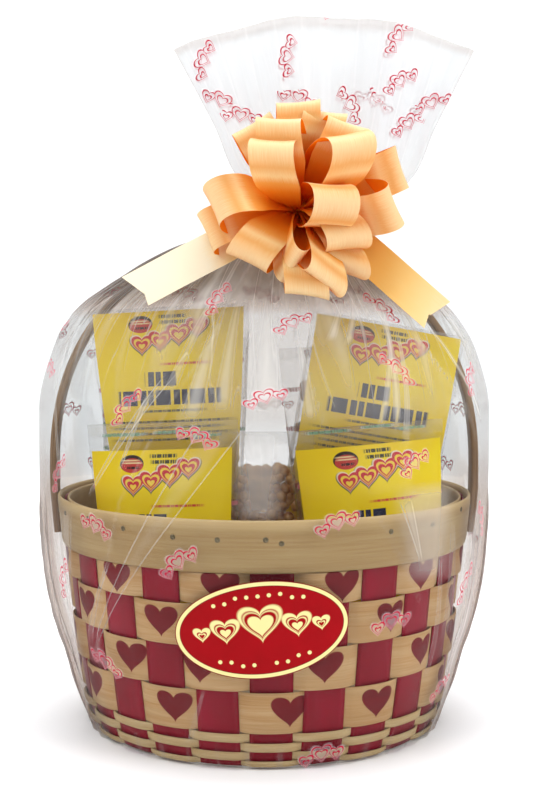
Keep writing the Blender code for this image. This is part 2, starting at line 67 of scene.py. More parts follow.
def add(tree, kind, inputs=(), stops=(), **settings):
    """Adds a node with its settings; inputs are values, sockets or nodes, by name or in order.

    A node stands for its first output that is in use. Stops are the places and hex colours of a colour ramp.
    """
    node = tree.nodes.new(kind)
    for name, value in settings.items():
        setattr(node, name, value)
    for place, (position, colour) in enumerate(stops):
        elements = node.color_ramp.elements
        element = elements[place] if place < len(elements) else elements.new(position)
        element.position = position
        element.color = linear(colour)
    for key, value in inputs.items() if isinstance(inputs, dict) else enumerate(inputs):
        if isinstance(value, bpy.types.Node):
            value = next(socket for socket in value.outputs if not socket.is_unavailable)
        if isinstance(value, bpy.types.NodeSocket):
            tree.links.new(value, node.inputs[key])
        else:
            node.inputs[key].default_value = value
    return node


def new_finish(name):
    """An empty material and its tree, ready for its own shader."""
    material = bpy.data.materials.new(name)
    material.use_nodes = True
    material.node_tree.nodes.clear()
    return material, material.node_tree


def shown(material, shader):
    """Shows a shader on a material's surface."""
    add(material.node_tree, "ShaderNodeOutputMaterial", {"Surface": shader})
    return material


def opaque(material, colour, roughness, specular=0.5, relief=None, strength=0.0, depth=0.0, **more):
    """Ends a material in a Principled shader, bumped by relief; more are further inputs by name."""
    tree = material.node_tree
    look = {"Base Color": colour, "Roughness": roughness, "Specular IOR Level": specular, **more}
    if relief is not None:
        look["Normal"] = add(tree, BUMP, {"Height": relief, "Strength": strength, "Distance": depth})
    return shown(material, add(tree, PRINCIPLED, look))


def streaks(tree, place, scale, detail, roughness=0.5, distortion=0.0):
    """Noise drawn out into streaks by an uneven scale, given in waves per metre."""
    stretched = add(tree, "ShaderNodeMapping", {"Vector": place, "Scale": scale})
    rest = {"Scale": 1.0, "Detail": detail, "Roughness": roughness, "Distortion": distortion}
    return add(tree, NOISE, {"Vector": stretched, **rest})


def dress_node(node, material):
    """Gives a solid its own finish in place of a piece of its own."""
    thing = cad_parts[node]
    thing.data.materials.clear()
    thing.data.materials.append(material)


def plain_board_finish():
    """Raw birch plywood: matt, with faint streaks of about 2 mm."""
    material, tree = new_finish("birch_plywood_raw")
    place = add(tree, "ShaderNodeTexCoord").outputs["Object"]
    grain = streaks(tree, place, (20.0, 500.0, 20.0), 3.0)
    colour = add(tree, RAMP, (grain,), [(0.3, "b89468"), (0.7, "d2b488")])
    return opaque(material, colour, roughness=0.65)


def filler_finish():
    """Crumpled kraft tissue: matt, its creases drawn by a bump of about 12 mm facets and darkened as painted
    shade.
    """
    material, tree = new_finish("kraft_tissue_crumpled")
    place = add(tree, "ShaderNodeTexCoord").outputs["Object"]
    creases_and_painted_shade = add(tree, "ShaderNodeTexVoronoi", {"Vector": place, "Scale": 80.0}, feature="DISTANCE_TO_EDGE")
    # Darker along the creases: painted shade.
    colour = add(tree, RAMP, (creases_and_painted_shade,), [(0.0, "c9b896"), (0.4, "e4d8bd")])
    return opaque(material, colour, roughness=0.9, relief=creases_and_painted_shade, strength=0.6, depth=4.0 * MM)


dress_node("base_board", plain_board_finish())
dress_node("filler_bed", filler_finish())

# Stakes. Twenty-four flat poplar splints stand round the foot board and carry the whole wall.
# They are stained crimson, and they show as squares where a weaver passes behind them.
# Angles start at the front and go round to the right; the wall widens upwards by a power curve.
STAKE_COUNT = 24
STAKE_PITCH = math.tau / STAKE_COUNT
STAKE_START = math.radians(2.0)
STAKE_WIDTH = 29.5 * MM
STAKE_THICKNESS = 1.2 * MM
STAKE_ROUNDING = 0.25 * MM
STAKE_SET_BACK = 0.35 * MM
STAKE_FOOT = 1.6 * MM
STAKE_TOP = 172.0 * MM
FOOT_RADIUS = 130.3 * MM
WALL_FLARE = 21.0 * MM
WALL_REFERENCE = 135.0 * MM
WALL_CURVE = 0.56
WALL_UV_RADIUS = 0.15
GRAIN = 0.4 * MM
# Heights at which the rows of reeds and of weavers end, from the top down.
REED_EDGES = [26.5 * MM, 19.8 * MM, 13.0 * MM, 6.3 * MM, 1.4 * MM]
WEAVER_EDGES = [139.5 * MM, 117.0 * MM, 87.0 * MM, 56.7 * MM, 26.5 * MM]


def wall_radius(height):
    """The radius of the stakes' middle at a height."""
    return FOOT_RADIUS + WALL_FLARE * (max(height, 0.0) / WALL_REFERENCE) ** WALL_CURVE


def around(radius, angle, height):
    """A point at that radius and angle round the axis."""
    return Vector((radius * math.sin(angle), -radius * math.cos(angle), height))


def new_piece(name, points, faces, material):
    """A smooth shaded object from points and faces."""
    mesh = bpy.data.meshes.new(name)
    mesh.from_pydata([tuple(point) for point in points], [], faces)
    mesh.validate()
    mesh.shade_smooth()
    mesh.materials.append(material)
    piece = bpy.data.objects.new(name, mesh)
    bpy.context.scene.collection.objects.link(piece)
    return piece


def grid_faces(columns, rows, closed=False, start=0):
    """Quads of a grid whose points run row by row; closed joins the last column to the first."""
    spans = columns if closed else columns - 1
    faces = []
    for row in range(rows - 1):
        for column in range(spans):
            after = (column + 1) % columns
            low = start + row * columns
            faces.append((low + column, low + after, low + columns + after, low + columns + column))
    return faces


def lattice(rows, columns, closed=False):
    """The row and column shares, 0 to 1, of a grid's points; a closed row stops one step short of 1."""
    spans = columns if closed else columns - 1
    return [(row / (rows - 1), column / spans) for row in range(rows) for column in range(columns)]


def wall_uv(mesh):
    """A UV map in metres that unrolls the wall: along the rim, and up. The seam is left clean."""
    layer = mesh.uv_layers.new(name="wall")
    for face in mesh.polygons:
        middle = math.atan2(face.center.x, -face.center.y)
        for loop in face.loop_indices:
            point = mesh.vertices[mesh.loops[loop].vertex_index].co
            angle = math.atan2(point.x, -point.y)
            angle -= math.tau * round((angle - middle) / math.tau)
            layer.data[loop].uv = (angle * WALL_UV_RADIUS, point.z)


def bake_modifiers(piece):
    """Turns a piece into the plain mesh that its modifiers give."""
    graph = bpy.context.evaluated_depsgraph_get()
    source = piece.evaluated_get(graph)
    mesh = bpy.data.meshes.new_from_object(source, preserve_all_data_layers=True, depsgraph=graph)
    piece.modifiers.clear()
    piece.data = mesh


def keep_piece(piece, slot, *nodes):
    """Fixes a piece to the part and lets it stand for the named solids; the slot is not used."""
    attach(piece, "root")
    if nodes:
        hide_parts(*nodes)


def stained_splint_finish():
    """Poplar veneer stained crimson: satin, with the upright grain showing as darker streaks of 1 mm."""
    material, tree = new_finish("poplar_splint_crimson_stain")
    place = add(tree, UV, uv_map="wall")
    grain = streaks(tree, place, (1 / (1.2 * MM), 1 / (70.0 * MM), 1.0), 3.0)
    blotch = add(tree, NOISE, {"Vector": place, "Scale": 18.0, "Detail": 2.0})
    mixed = add(tree, MATH, (grain, 0.5, 0.0), operation="MULTIPLY_ADD")
    mixed = add(tree, MATH, (blotch, 0.5, mixed), operation="MULTIPLY_ADD")
    colour = add(tree, RAMP, (mixed,), [(0.25, "640510"), (0.5, "7c0a1e"), (0.78, "92142e")])
    return opaque(material, colour, roughness=0.42, specular=0.12, relief=grain, strength=0.12, depth=GRAIN)


def group_tree(name, sockets):
    """A Geometry Nodes tree and its inputs: geometry, the sockets (name, type, default) and a finish."""
    tree = bpy.data.node_groups.new(name, "GeometryNodeTree")
    tree.interface.new_socket("Geometry", in_out="INPUT", socket_type="NodeSocketGeometry")
    tree.interface.new_socket("Geometry", in_out="OUTPUT", socket_type="NodeSocketGeometry")
    for label, kind, default in sockets:
        tree.interface.new_socket(label, in_out="INPUT", socket_type=kind).default_value = default
    tree.interface.new_socket("Finish", in_out="INPUT", socket_type="NodeSocketMaterial")
    return tree, add(tree, "NodeGroupInput").outputs


def finish_tree(tree, geometry, finish):
    """Makes a tree's copies real, gives them their material and sends them out."""
    real = add(tree, "GeometryNodeRealizeInstances", {"Geometry": geometry})
    done = add(tree, "GeometryNodeSetMaterial", {"Geometry": real, "Material": finish})
    add(tree, "NodeGroupOutput", (done,))
    return tree


def grow(piece, tree, **values):
    """Puts a Geometry Nodes tree on a piece, sets its inputs by identifier, and bakes it to a plain mesh."""
    modifier = piece.modifiers.new("grow", "NODES")
    modifier.node_group = tree
    for item in tree.interface.items_tree:
        label = item.name.replace(" ", "_").lower()
        if item.item_type == "SOCKET" and item.in_out == "INPUT" and label in values:
            modifier[item.identifier] = values[label]
    bake_modifiers(piece)


def stake_ring_tree():
    """One stake repeated round the axis, each with its own small lean and turn."""
    sockets = [
        ("Count", "NodeSocketInt", STAKE_COUNT),
        ("Lean", "NodeSocketFloat", 0.004),
        ("Seed", "NodeSocketInt", 7),
    ]
    tree, given = group_tree("stake_ring", sockets)
    points = add(tree, "GeometryNodePoints", {"Count": given["Count"]})
    index = add(tree, "GeometryNodeInputIndex")
    pitch = add(tree, MATH, (math.tau, given["Count"]), operation="DIVIDE")
    turn = add(tree, MATH, (index, pitch), operation="MULTIPLY")
    # The lowest and highest number of a random value are its inputs 2 and 3; the lowest stays 0 here.
    wobble = add(tree, RANDOM, {3: given["Lean"], "Seed": given["Seed"]}, data_type="FLOAT")
    swing = add(tree, MATH, (turn, wobble), operation="ADD")
    spin = add(tree, "ShaderNodeCombineXYZ", {"Z": swing})
    rotation = add(tree, "FunctionNodeEulerToRotation", (spin,))
    wanted = {"Points": points, "Instance": given["Geometry"], "Rotation": rotation}
    ring = add(tree, "GeometryNodeInstanceOnPoints", wanted)
    return finish_tree(tree, ring, given["Finish"])


def build_stakes():
    columns, rows = 9, 40
    points = []
    for layer in (1, -1):
        for level, column in lattice(rows, columns):
            height = STAKE_FOOT + (STAKE_TOP - STAKE_FOOT) * level
            radius = wall_radius(height)
            share = 2.0 * column - 1.0
            skin = layer * (STAKE_THICKNESS / 2 - STAKE_ROUNDING * share ** 6)
            angle = STAKE_START + share * STAKE_WIDTH / 2 / radius
            points.append(around(radius + skin - STAKE_SET_BACK, angle, height))
    faces = grid_faces(columns, rows)
    faces += [tuple(reversed(face)) for face in grid_faces(columns, rows, start=columns * rows)]
    rim = list(range(columns)) + [row * columns + columns - 1 for row in range(1, rows)]
    rim += list(range(rows * columns - 2, (rows - 1) * columns - 1, -1))
    rim += [row * columns for row in range(rows - 2, 0, -1)]
    back = columns * rows
    for here, there in zip(rim, rim[1:] + rim[:1]):
        faces.append((there, here, back + here, back + there))
    red = stained_splint_finish()
    stakes = new_piece("stakes", points, faces, red)
    grow(stakes, stake_ring_tree(), count=STAKE_COUNT, lean=0.003, seed=7, finish=red)
    wall_uv(stakes.data)
    keep_piece(stakes, "stake", *[f"stake_{index + 1:02d}" for index in range(STAKE_COUNT)])


build_stakes()

# Weavers. Four wide splints of pale poplar pass outside one stake and inside the next, all the way round.
# A dark red heart is printed on them once for each outer stretch, never quite in its middle.
WEAVER_THICKNESS = 1.4 * MM
WEAVER_BULGE = 1.0 * MM
WEAVE_PLAY = 0.3 * MM
ROW_GAP = 0.7 * MM
HEART_WIDTH = 26.0 * MM
HEART_DROP = 1.9 * MM
HEART_NOTCH = 1.49
# How far each heart sits from the middle of its stretch, in degrees: row, then the stretch's stake number.
HEART_SHIFTS = {
    (1, -3): 1.2, (1, -1): 2.1, (1, 1): 3.3, (1, 3): -1.0,
    (2, -4): 0.0, (2, -2): 0.4, (2, 2): 3.7, (2, 4): 5.5,
    (3, -3): 4.0, (3, -1): -4.1, (3, 1): -0.7, (3, 3): 2.3,
    (4, -4): -1.0, (4, -2): 2.8, (4, 0): 5.2, (4, 2): 1.1, (4, 4): 5.0,
}


def wall_field(tree, height):
    """The rule of wall_radius as nodes."""
    share = add(tree, MATH, (height, WALL_REFERENCE), operation="DIVIDE")
    flare = add(tree, MATH, (share, WALL_CURVE), operation="POWER")
    return add(tree, MATH, (flare, WALL_FLARE, FOOT_RADIUS), operation="MULTIPLY_ADD")


def woven_row_tree():
    """A flat strip closed round the wall, swung outside and inside the stakes in turn by a cosine rule."""
    sockets = [
        ("Middle Height", "NodeSocketFloat", 0.1),
        ("Strip Height", "NodeSocketFloat", 0.03),
        ("Thickness", "NodeSocketFloat", 0.0014),
        ("Swing", "NodeSocketFloat", 0.0016),
        ("Bulge", "NodeSocketFloat", 0.001),
        ("Row", "NodeSocketInt", 1),
        ("Steps", "NodeSocketInt", 432),
        ("Sharpness", "NodeSocketFloat", 2.6),
    ]
    tree, given = group_tree("woven_row", sockets)
    circle = add(tree, "GeometryNodeCurvePrimitiveCircle", {"Resolution": given["Steps"], "Radius": 1.0})
    index = add(tree, "GeometryNodeInputIndex")
    share = add(tree, MATH, (index, given["Steps"]), operation="DIVIDE")
    turn = add(tree, MATH, (share, math.tau), operation="MULTIPLY")
    front = add(tree, MATH, (turn, math.pi / 2 - STAKE_START), operation="ADD")
    wave = add(tree, MATH, (front, STAKE_COUNT / 2), operation="MULTIPLY")
    phased = add(tree, MATH, (given["Row"], math.pi, wave), operation="MULTIPLY_ADD")
    weave = add(tree, MATH, (phased,), operation="COSINE")
    steep = add(tree, MATH, (weave, given["Sharpness"]), operation="MULTIPLY")
    side = add(tree, MATH, (steep,), operation="TANH")
    swung = add(tree, MATH, (side, given["Swing"]), operation="MULTIPLY")
    full = add(tree, MATH, (weave, given["Bulge"], swung), operation="MULTIPLY_ADD")
    middle = wall_field(tree, given["Middle Height"])
    radius = add(tree, MATH, (middle, full), operation="ADD")
    here = add(tree, "GeometryNodeInputPosition")
    spread = add(tree, VECTOR_MATH, {"Vector": here, "Scale": radius}, operation="SCALE")
    lift = add(tree, "ShaderNodeCombineXYZ", {"Z": given["Middle Height"]})
    path_place = add(tree, VECTOR_MATH, (spread, lift), operation="ADD")
    path = add(tree, "GeometryNodeSetPosition", {"Geometry": circle, "Position": path_place})
    upright = add(tree, "GeometryNodeSetCurveNormal", {"Curve": path}, mode="Z_UP")
    wanted = {"Width": given["Thickness"], "Height": given["Strip Height"]}
    strip = add(tree, "GeometryNodeCurvePrimitiveQuadrilateral", wanted)
    corner = add(tree, MATH, (given["Thickness"], 0.42), operation="MULTIPLY")
    rounded = add(tree, "GeometryNodeFilletCurve", {"Curve": strip, "Radius": corner})
    mesh = add(tree, "GeometryNodeCurveToMesh", {"Curve": upright, "Profile Curve": rounded})
    place = add(tree, "GeometryNodeInputPosition")
    level = add(tree, SPLIT, (place,)).outputs["Z"]
    grown = add(tree, MATH, (wall_field(tree, level), middle), operation="DIVIDE")
    factor = add(tree, "ShaderNodeCombineXYZ", {"X": grown, "Y": grown, "Z": 1.0})
    coned = add(tree, VECTOR_MATH, (place, factor), operation="MULTIPLY")
    wall = add(tree, "GeometryNodeSetPosition", {"Geometry": mesh, "Position": coned})
    smooth = add(tree, "GeometryNodeSetShadeSmooth", {"Geometry": wall})
    return finish_tree(tree, smooth, given["Finish"])


def heart_field(tree, across, upward):
    """A heart's implicit value: below 1 inside it, for coordinates in half-widths."""
    width = add(tree, MATH, (across,), operation="ABSOLUTE")
    root = add(tree, MATH, (width,), operation="SQRT")
    tall = add(tree, MATH, (upward, HEART_NOTCH), operation="MULTIPLY")
    lobe = add(tree, MATH, (tall, root), operation="SUBTRACT")
    lobe = add(tree, MATH, (lobe, lobe), operation="MULTIPLY")
    return add(tree, MATH, (across, across, lobe), operation="MULTIPLY_ADD")


def splint_grain(tree, place, along, across):
    """Wood grain as long thin streaks of that length and width in millimetres."""
    return streaks(tree, place, (1 / (along * MM), 1 / (across * MM), 1.0), 4.0, 0.6, 0.3)


def wood_colour(tree, place, grain, broad, share, fine, warm):
    """Bare wood: fine streaks, and a share of broad warm ones; returns the colour and the fine streaks."""
    fibres = splint_grain(tree, place, *grain)
    under = add(tree, RAMP, (fibres,), fine)
    over = add(tree, RAMP, (splint_grain(tree, place, *broad),), warm)
    return add(tree, MIX, {FACTOR: share, UNDER: under, OVER: over}, data_type="RGBA"), fibres


def printed_splint_finish():
    """Bare poplar splint with hearts printed in dark red ink, which lets a little of the grain through."""
    material, tree = new_finish("poplar_splint_heart_print")
    place = add(tree, UV, uv_map="wall")
    fine = [(0.28, "977446"), (0.5, "b08d61"), (0.75, "bfa27b")]
    warm = [(0.35, "a5753e"), (0.62, "ba9b71")]
    wood, grain = wood_colour(tree, place, (60.0, 1.1), (120.0, 9.0), 0.45, fine, warm)
    across, upward, _ = add(tree, SPLIT, (add(tree, UV, uv_map="heart"),)).outputs
    inked = add(tree, MAP_RANGE, (heart_field(tree, across, upward), 0.94, 1.06, 1.0, 0.0))
    ink = add(tree, RAMP, (grain,), [(0.25, "560509"), (0.7, "700b16")])
    colour = add(tree, MIX, {FACTOR: inked, UNDER: wood, OVER: ink}, data_type="RGBA")
    return opaque(material, colour, roughness=0.55, specular=0.2, relief=grain, strength=0.2, depth=GRAIN)


def heart_uv(mesh, row, low, high):
    """A UV map that centres a heart on each outer stretch of a weaver, in half-widths of the heart."""
    layer = mesh.uv_layers.new(name="heart")
    draw = random.Random(100 + row)
    spare = {stake: draw.uniform(-4.0, 4.0) for stake in range(-STAKE_COUNT // 2, STAKE_COUNT // 2 + 1)}
    middle = (low + high) / 2 - HEART_DROP
    radius = wall_radius(middle)
    for face in mesh.polygons:
        centre = math.atan2(face.center.x, -face.center.y) - STAKE_START
        stake = round(centre / STAKE_PITCH)
        if (stake + row) % 2:
            stake += 1 if centre > stake * STAKE_PITCH else -1
        shift = HEART_SHIFTS.get((row, stake), spare.get(stake, 0.0))
        angle_of_heart = STAKE_START + stake * STAKE_PITCH + math.radians(shift)
        for loop in face.loop_indices:
            point = mesh.vertices[mesh.loops[loop].vertex_index].co
            angle = math.atan2(point.x, -point.y) - angle_of_heart
            angle -= math.tau * round(angle / math.tau)
            layer.data[loop].uv = (angle * radius / (HEART_WIDTH / 2), (point.z - middle) / (HEART_WIDTH / 2))


def build_rows(tree, name, slot, edges, gap, thickness, bulge, finish):
    """Weaves a row of strip between each edge and the next one down; only the weavers are printed."""
    swing = (STAKE_THICKNESS + thickness) / 2 + WEAVE_PLAY
    for row, (high, low) in enumerate(zip(edges, edges[1:]), start=1):
        piece = new_piece(f"{name}_{row}", [(0, 0, 0)], [], finish)
        grow(
            piece, tree, middle_height=(high + low) / 2, strip_height=high - low - gap,
            thickness=thickness, swing=swing, bulge=bulge, row=row, finish=finish,
        )
        wall_uv(piece.data)
        if slot == "weaver":
            heart_uv(piece.data, row, low, high)
        keep_piece(piece, slot, f"{slot}_{row}")


woven_row = woven_row_tree()
weaver_finish = printed_splint_finish()
build_rows(
    woven_row, "weaver_splint", "weaver", WEAVER_EDGES, ROW_GAP, WEAVER_THICKNESS, WEAVER_BULGE, weaver_finish
)

# Reeds. Four rows of flat oval reed, bare and a little knobbly, close the wall down to the foot.
# They are woven like the wide splints and bound the crimson stakes into small squares.
REED_THICKNESS = 2.2 * MM
REED_BULGE = 0.3 * MM


def reed_finish():
    """Flat oval rattan reed: matt and pale, with fibres of about half a millimetre along it."""
    material, tree = new_finish("rattan_reed_bare")
    place = add(tree, UV, uv_map="wall")
    fine = [(0.3, "9b7e53"), (0.6, "b8a173"), (0.8, "c4b188")]
    warm = [(0.35, "aa895d"), (0.65, "beab88")]
    colour, grain = wood_colour(tree, place, (40.0, 0.7), (50.0, 8.0), 0.4, fine, warm)
    return opaque(material, colour, roughness=0.62, specular=0.2, relief=grain, strength=0.35, depth=0.5 * MM)


build_rows(woven_row, "reed_row", "reed", REED_EDGES, ROW_GAP / 2, REED_THICKNESS, REED_BULGE, reed_finish())

# Rim. A wide bare splint is bent round the outside of the stakes' tops and a narrower one inside them.
# The two are nailed together through the stakes with small steel nails.
RIM_TOP = 175.5 * MM
RIM_BOTTOM = 139.5 * MM
RIM_TOP_RADIUS = 160.0 * MM
RIM_BOTTOM_RADIUS = 156.6 * MM
# Both bands: their edges below and above, their outer radius at each, and their thickness.
OUTER_RIM = (RIM_BOTTOM, RIM_TOP, RIM_BOTTOM_RADIUS, RIM_TOP_RADIUS, 3.0 * MM)
INNER_RIM = (146.0 * MM, 173.5 * MM, 150.4 * MM, 152.6 * MM, 2.4 * MM)
RIM_STEPS = 240
# Shares of a band's height at which its outer face, going up, and its inner face, going down, have a row.
OUTER_SHARES = (0.0, 0.03, 0.12, 0.3, 0.5, 0.7, 0.88, 0.97, 1.0)
INNER_SHARES = (1.0, 0.94, 0.5, 0.06, 0.0)
# Nails seen on the outer band: degrees from the front, and millimetres below the rim's top edge.
NAILS = [
    (-66, 9), (-51, 7.5), (-37.2, 10.3), (-22.5, 12.7), (-11.1, 13.2), (0.5, 12.7), (4.3, 15.3),
    (33, 11.4), (48, 10.8), (64.3, 5.5), (79, 9), (94, 12), (111, 13), (128, 11.5), (146, 12.5), (163, 12),
    (180, 11), (-163, 12), (-146, 13), (-128, 12), (-111, 11.5), (-80, 12.5),
]
NAIL_RADIUS = 1.9 * MM


def rim_finish():
    """Bare poplar splint, lightly sanded: pale tan with soft streaks, and a painted highlight along its top
    edge.
    """
    material, tree = new_finish("poplar_splint_sanded")
    place = add(tree, UV, uv_map="wall")
    fine = [(0.3, "8a6d43"), (0.55, "9b8156"), (0.8, "a89268")]
    warm = [(0.35, "906f41"), (0.65, "a58e62")]
    colour, grain = wood_colour(tree, place, (90.0, 1.6), (160.0, 14.0), 0.45, fine, warm)
    level = add(tree, SPLIT, (place,)).outputs["Y"]
    # A painted highlight: the colour grows paler towards the band's top edge, where the light falls.
    painted_highlight = add(tree, MAP_RANGE, (level, RIM_TOP - 8.0 * MM, RIM_TOP - 1.0 * MM, 0.0, 0.6))
    colour = add(tree, MIX, {FACTOR: painted_highlight, UNDER: colour, OVER: linear("cbb080")}, data_type="RGBA")
    return opaque(material, colour, roughness=0.5, specular=0.25, relief=grain, strength=0.15, depth=GRAIN)


def band_piece(name, low, high, low_radius, high_radius, thickness, finish):
    """A bent splint band with rounded edges, its outer face very slightly crowned."""
    section = []
    for shares, rounding, depth in ((OUTER_SHARES, 0.35, 0.0), (INNER_SHARES, -0.3, thickness)):
        for share in shares:
            inset = thickness * rounding * abs(2 * share - 1) ** 14 + depth
            radius = low_radius + (high_radius - low_radius) * share - inset
            section.append((radius, low + (high - low) * share))
    points = []
    for radius, height in section:
        for step in range(RIM_STEPS):
            angle = math.tau * step / RIM_STEPS
            sag = 0.35 * MM * noise.noise((math.sin(angle) * 3, math.cos(angle) * 3, 0.3))
            points.append(around(radius, angle, height + sag))
    rows = len(section)
    faces = grid_faces(RIM_STEPS, rows, closed=True)
    last = (rows - 1) * RIM_STEPS
    for step in range(RIM_STEPS):
        after = (step + 1) % RIM_STEPS
        faces.append((last + step, last + after, after, step))
    piece = new_piece(name, points, faces, finish)
    wall_uv(piece.data)
    return piece


def nail_tree():
    """A domed nail head repeated at the points it is given, each turned to face out from the axis."""
    tree, given = group_tree("rim_nails", [("Head Radius", "NodeSocketFloat", NAIL_RADIUS)])
    wanted = {"Segments": 12, "Rings": 8, "Radius": given["Head Radius"]}
    head = add(tree, "GeometryNodeMeshUVSphere", wanted)
    flat = add(tree, "GeometryNodeTransform", {"Geometry": head, "Scale": (1.0, 1.0, 0.45)})
    where = add(tree, "GeometryNodeInputPosition")
    outward = add(tree, VECTOR_MATH, (where, (1.0, 1.0, 0.0)), operation="MULTIPLY")
    facing = add(tree, "FunctionNodeAlignRotationToVector", {"Vector": outward}, axis="Z")
    wanted = {"Points": given["Geometry"], "Instance": flat, "Rotation": facing}
    heads = add(tree, "GeometryNodeInstanceOnPoints", wanted)
    smooth = add(tree, "GeometryNodeSetShadeSmooth", {"Geometry": heads})
    return finish_tree(tree, smooth, given["Finish"])


def nail_finish():
    """Bright drawn steel wire nail, dulled: grey with a fine mottling."""
    material, tree = new_finish("steel_wire_nail")
    place = add(tree, "ShaderNodeTexCoord").outputs["Object"]
    mottle = add(tree, NOISE, {"Vector": place, "Scale": 1500.0})
    colour = add(tree, RAMP, (mottle,), [(0.3, "574e3c"), (0.7, "7b6f58")])
    return opaque(material, colour, roughness=0.42, Metallic=1.0)


def build_rim():
    finish = rim_finish()
    keep_piece(band_piece("rim_band_outer", *OUTER_RIM, finish), "rim", "rim_outer")
    keep_piece(band_piece("rim_band_inner", *INNER_RIM, finish), "rim", "rim_inner")
    spots = []
    for degrees, drop in NAILS:
        height = RIM_TOP - drop * MM
        share = (height - RIM_BOTTOM) / (RIM_TOP - RIM_BOTTOM)
        radius = RIM_BOTTOM_RADIUS + (RIM_TOP_RADIUS - RIM_BOTTOM_RADIUS) * share
        spots.append(around(radius, math.radians(degrees), height))
    steel = nail_finish()
    nails = new_piece("rim_nails", spots, [], steel)
    grow(nails, nail_tree(), head_radius=NAIL_RADIUS, finish=steel)
    keep_piece(nails, "rim")


build_rim()

# Handle. One strip of ash is steamed and bent to an arch, with its two legs nailed outside the rim.
# It carries the film out at both sides, and it has aged to a greyed brown.
HANDLE_DEPTH = 18.0 * MM
HANDLE_THICKNESS = 6.0 * MM
HANDLE_FOOT = 143.0 * MM
HANDLE_SPRING = 195.0 * MM
HANDLE_TOP = 366.0 * MM
HANDLE_HALF_WIDTH = 163.7 * MM
HANDLE_FOOT_HALF_WIDTH = 160.7 * MM
HANDLE_ROUNDNESS = 2.2
LEG_POINTS = 7


def handle_finish():
    """Steam-bent ash, unfinished and greyed: satin, with darker pores drawn out along the bend."""
    material, tree = new_finish("ash_strip_steam_bent")
    grain = splint_grain(tree, add(tree, UV, uv_map="bend"), 80.0, 1.3)
    colour = add(tree, RAMP, (grain,), [(0.25, "745638"), (0.5, "91704e"), (0.8, "ab8b68")])
    return opaque(material, colour, roughness=0.5, specular=0.25, relief=grain, strength=0.25, depth=0.5 * MM)


def handle_spine(steps):
    """The middle line of the strip: up the left leg, over the arch and down the right leg."""
    spine = []
    for step in range(LEG_POINTS):
        share = step / (LEG_POINTS - 1)
        half = HANDLE_FOOT_HALF_WIDTH + (HANDLE_HALF_WIDTH - HANDLE_FOOT_HALF_WIDTH) * min(1.0, share * 1.6)
        spine.append(Vector((-half, 0.0, HANDLE_FOOT + (HANDLE_SPRING - HANDLE_FOOT) * share)))
    power = 2.0 / HANDLE_ROUNDNESS
    for step in range(1, steps):
        turn = math.pi * step / steps
        sideways = math.copysign(abs(math.cos(turn)) ** power, -math.cos(turn))
        height = HANDLE_SPRING + (HANDLE_TOP - HANDLE_SPRING) * math.sin(turn) ** power
        spine.append(Vector((HANDLE_HALF_WIDTH * sideways, 0.0, height)))
    return spine + [Vector((-point.x, 0.0, point.z)) for point in reversed(spine[:LEG_POINTS])]


def turn_outward(mesh):
    """Turns every face of a closed mesh outwards."""
    work = bmesh.new()
    work.from_mesh(mesh)
    bmesh.ops.recalc_face_normals(work, faces=work.faces)
    work.to_mesh(mesh)
    work.free()


def build_handle():
    spine = handle_spine(64)
    profile = []
    for step in range(20):
        turn = math.tau * step / 20
        across = math.copysign(abs(math.cos(turn)) ** 0.35, math.cos(turn))
        outward = math.copysign(abs(math.sin(turn)) ** 0.45, math.sin(turn))
        profile.append((across * HANDLE_DEPTH / 2, outward * HANDLE_THICKNESS / 2))
    points = []
    for index, point in enumerate(spine):
        along = (spine[min(index + 1, len(spine) - 1)] - spine[max(index - 1, 0)]).normalized()
        out_way = Vector((-along.z, 0.0, along.x))
        for across, outward in profile:
            points.append(point + Vector((0.0, across, 0.0)) + out_way * outward)
    columns = len(profile)
    faces = grid_faces(columns, len(spine), closed=True)
    faces.append(tuple(reversed(range(columns))))
    faces.append(tuple(range((len(spine) - 1) * columns, len(spine) * columns)))
    piece = new_piece("handle_strip", points, faces, handle_finish())
    piece.data.set_sharp_from_angle(angle=math.radians(50))
    turn_outward(piece.data)
    layer = piece.data.uv_layers.new(name="bend")
    reach = [0.0]
    for before, after in zip(spine, spine[1:]):
        reach.append(reach[-1] + (after - before).length)
    for loop in piece.data.loops:
        row = loop.vertex_index // columns
        across, outward = profile[loop.vertex_index % columns]
        layer.data[loop.index].uv = (reach[row], across + outward)
    keep_piece(piece, "handle", "handle")


build_handle()

# Snack packs. Each is a flat pillow of clear laminate film, crimped shut along its top and bottom edges.
# Four have a yellow printed front, and what they hold shows through their sides, backs and unprinted packs.
# Name, width, height, depth, middle x, middle y, foot z in millimetres; yaw and roll in degrees;
# how much narrower its foot is; the share of its height at which the printed front ends; its snack.
POUCHES = [
    ("front_left", 117, 158, 30, -66, -74, 76, -16.5, -3.2, 0.20, 0.878, "peanut"),
    ("front_right", 120, 156, 30, 83, -70, 76, 16.5, -3.4, 0.20, 0.914, "peanut"),
    ("back_left", 124, 189, 28, -63, -29, 129, -8, -3.0, 0.30, 0.985, "cracker"),
    ("back_right", 121, 172, 26, 66, -28, 136, 9, 10, 0.04, 0.985, "cracker"),
    ("middle", 70, 160, 17, 2, -60, 66, 0, 0, 0.20, 0.95, "gummy"),
    ("rear_left", 118, 168, 32, -78, 36, 128, 10, 2, 0.16, 0.95, "cracker"),
    ("rear_right", 118, 160, 32, 78, 36, 128, -10, -3, 0.16, 0.95, "peanut"),
]
CARDED = ("front_left", "front_right", "back_left", "back_right")
TAPER_CURVE = 1.3
CARD_COLUMNS = 0.94
CARD_FOOT = 0.06
SEAL_SHARE = 0.055
# Snack: length, width and height in millimetres, then how deep its waist is and how bumpy its skin is.
SNACKS = {
    "peanut": (16.0, 9.5, 9.0, 0.28, 0.35),
    "cracker": (18.0, 16.0, 6.0, 0.0, 0.5),
    "gummy": (11.0, 10.0, 8.5, 0.05, 0.25),
}


def smoother(low, high, value):
    """A soft step from 0 at low to 1 at high."""
    share = np.clip((value - low) / (high - low), 0.0, 1.0)
    return share * share * (3.0 - 2.0 * share)


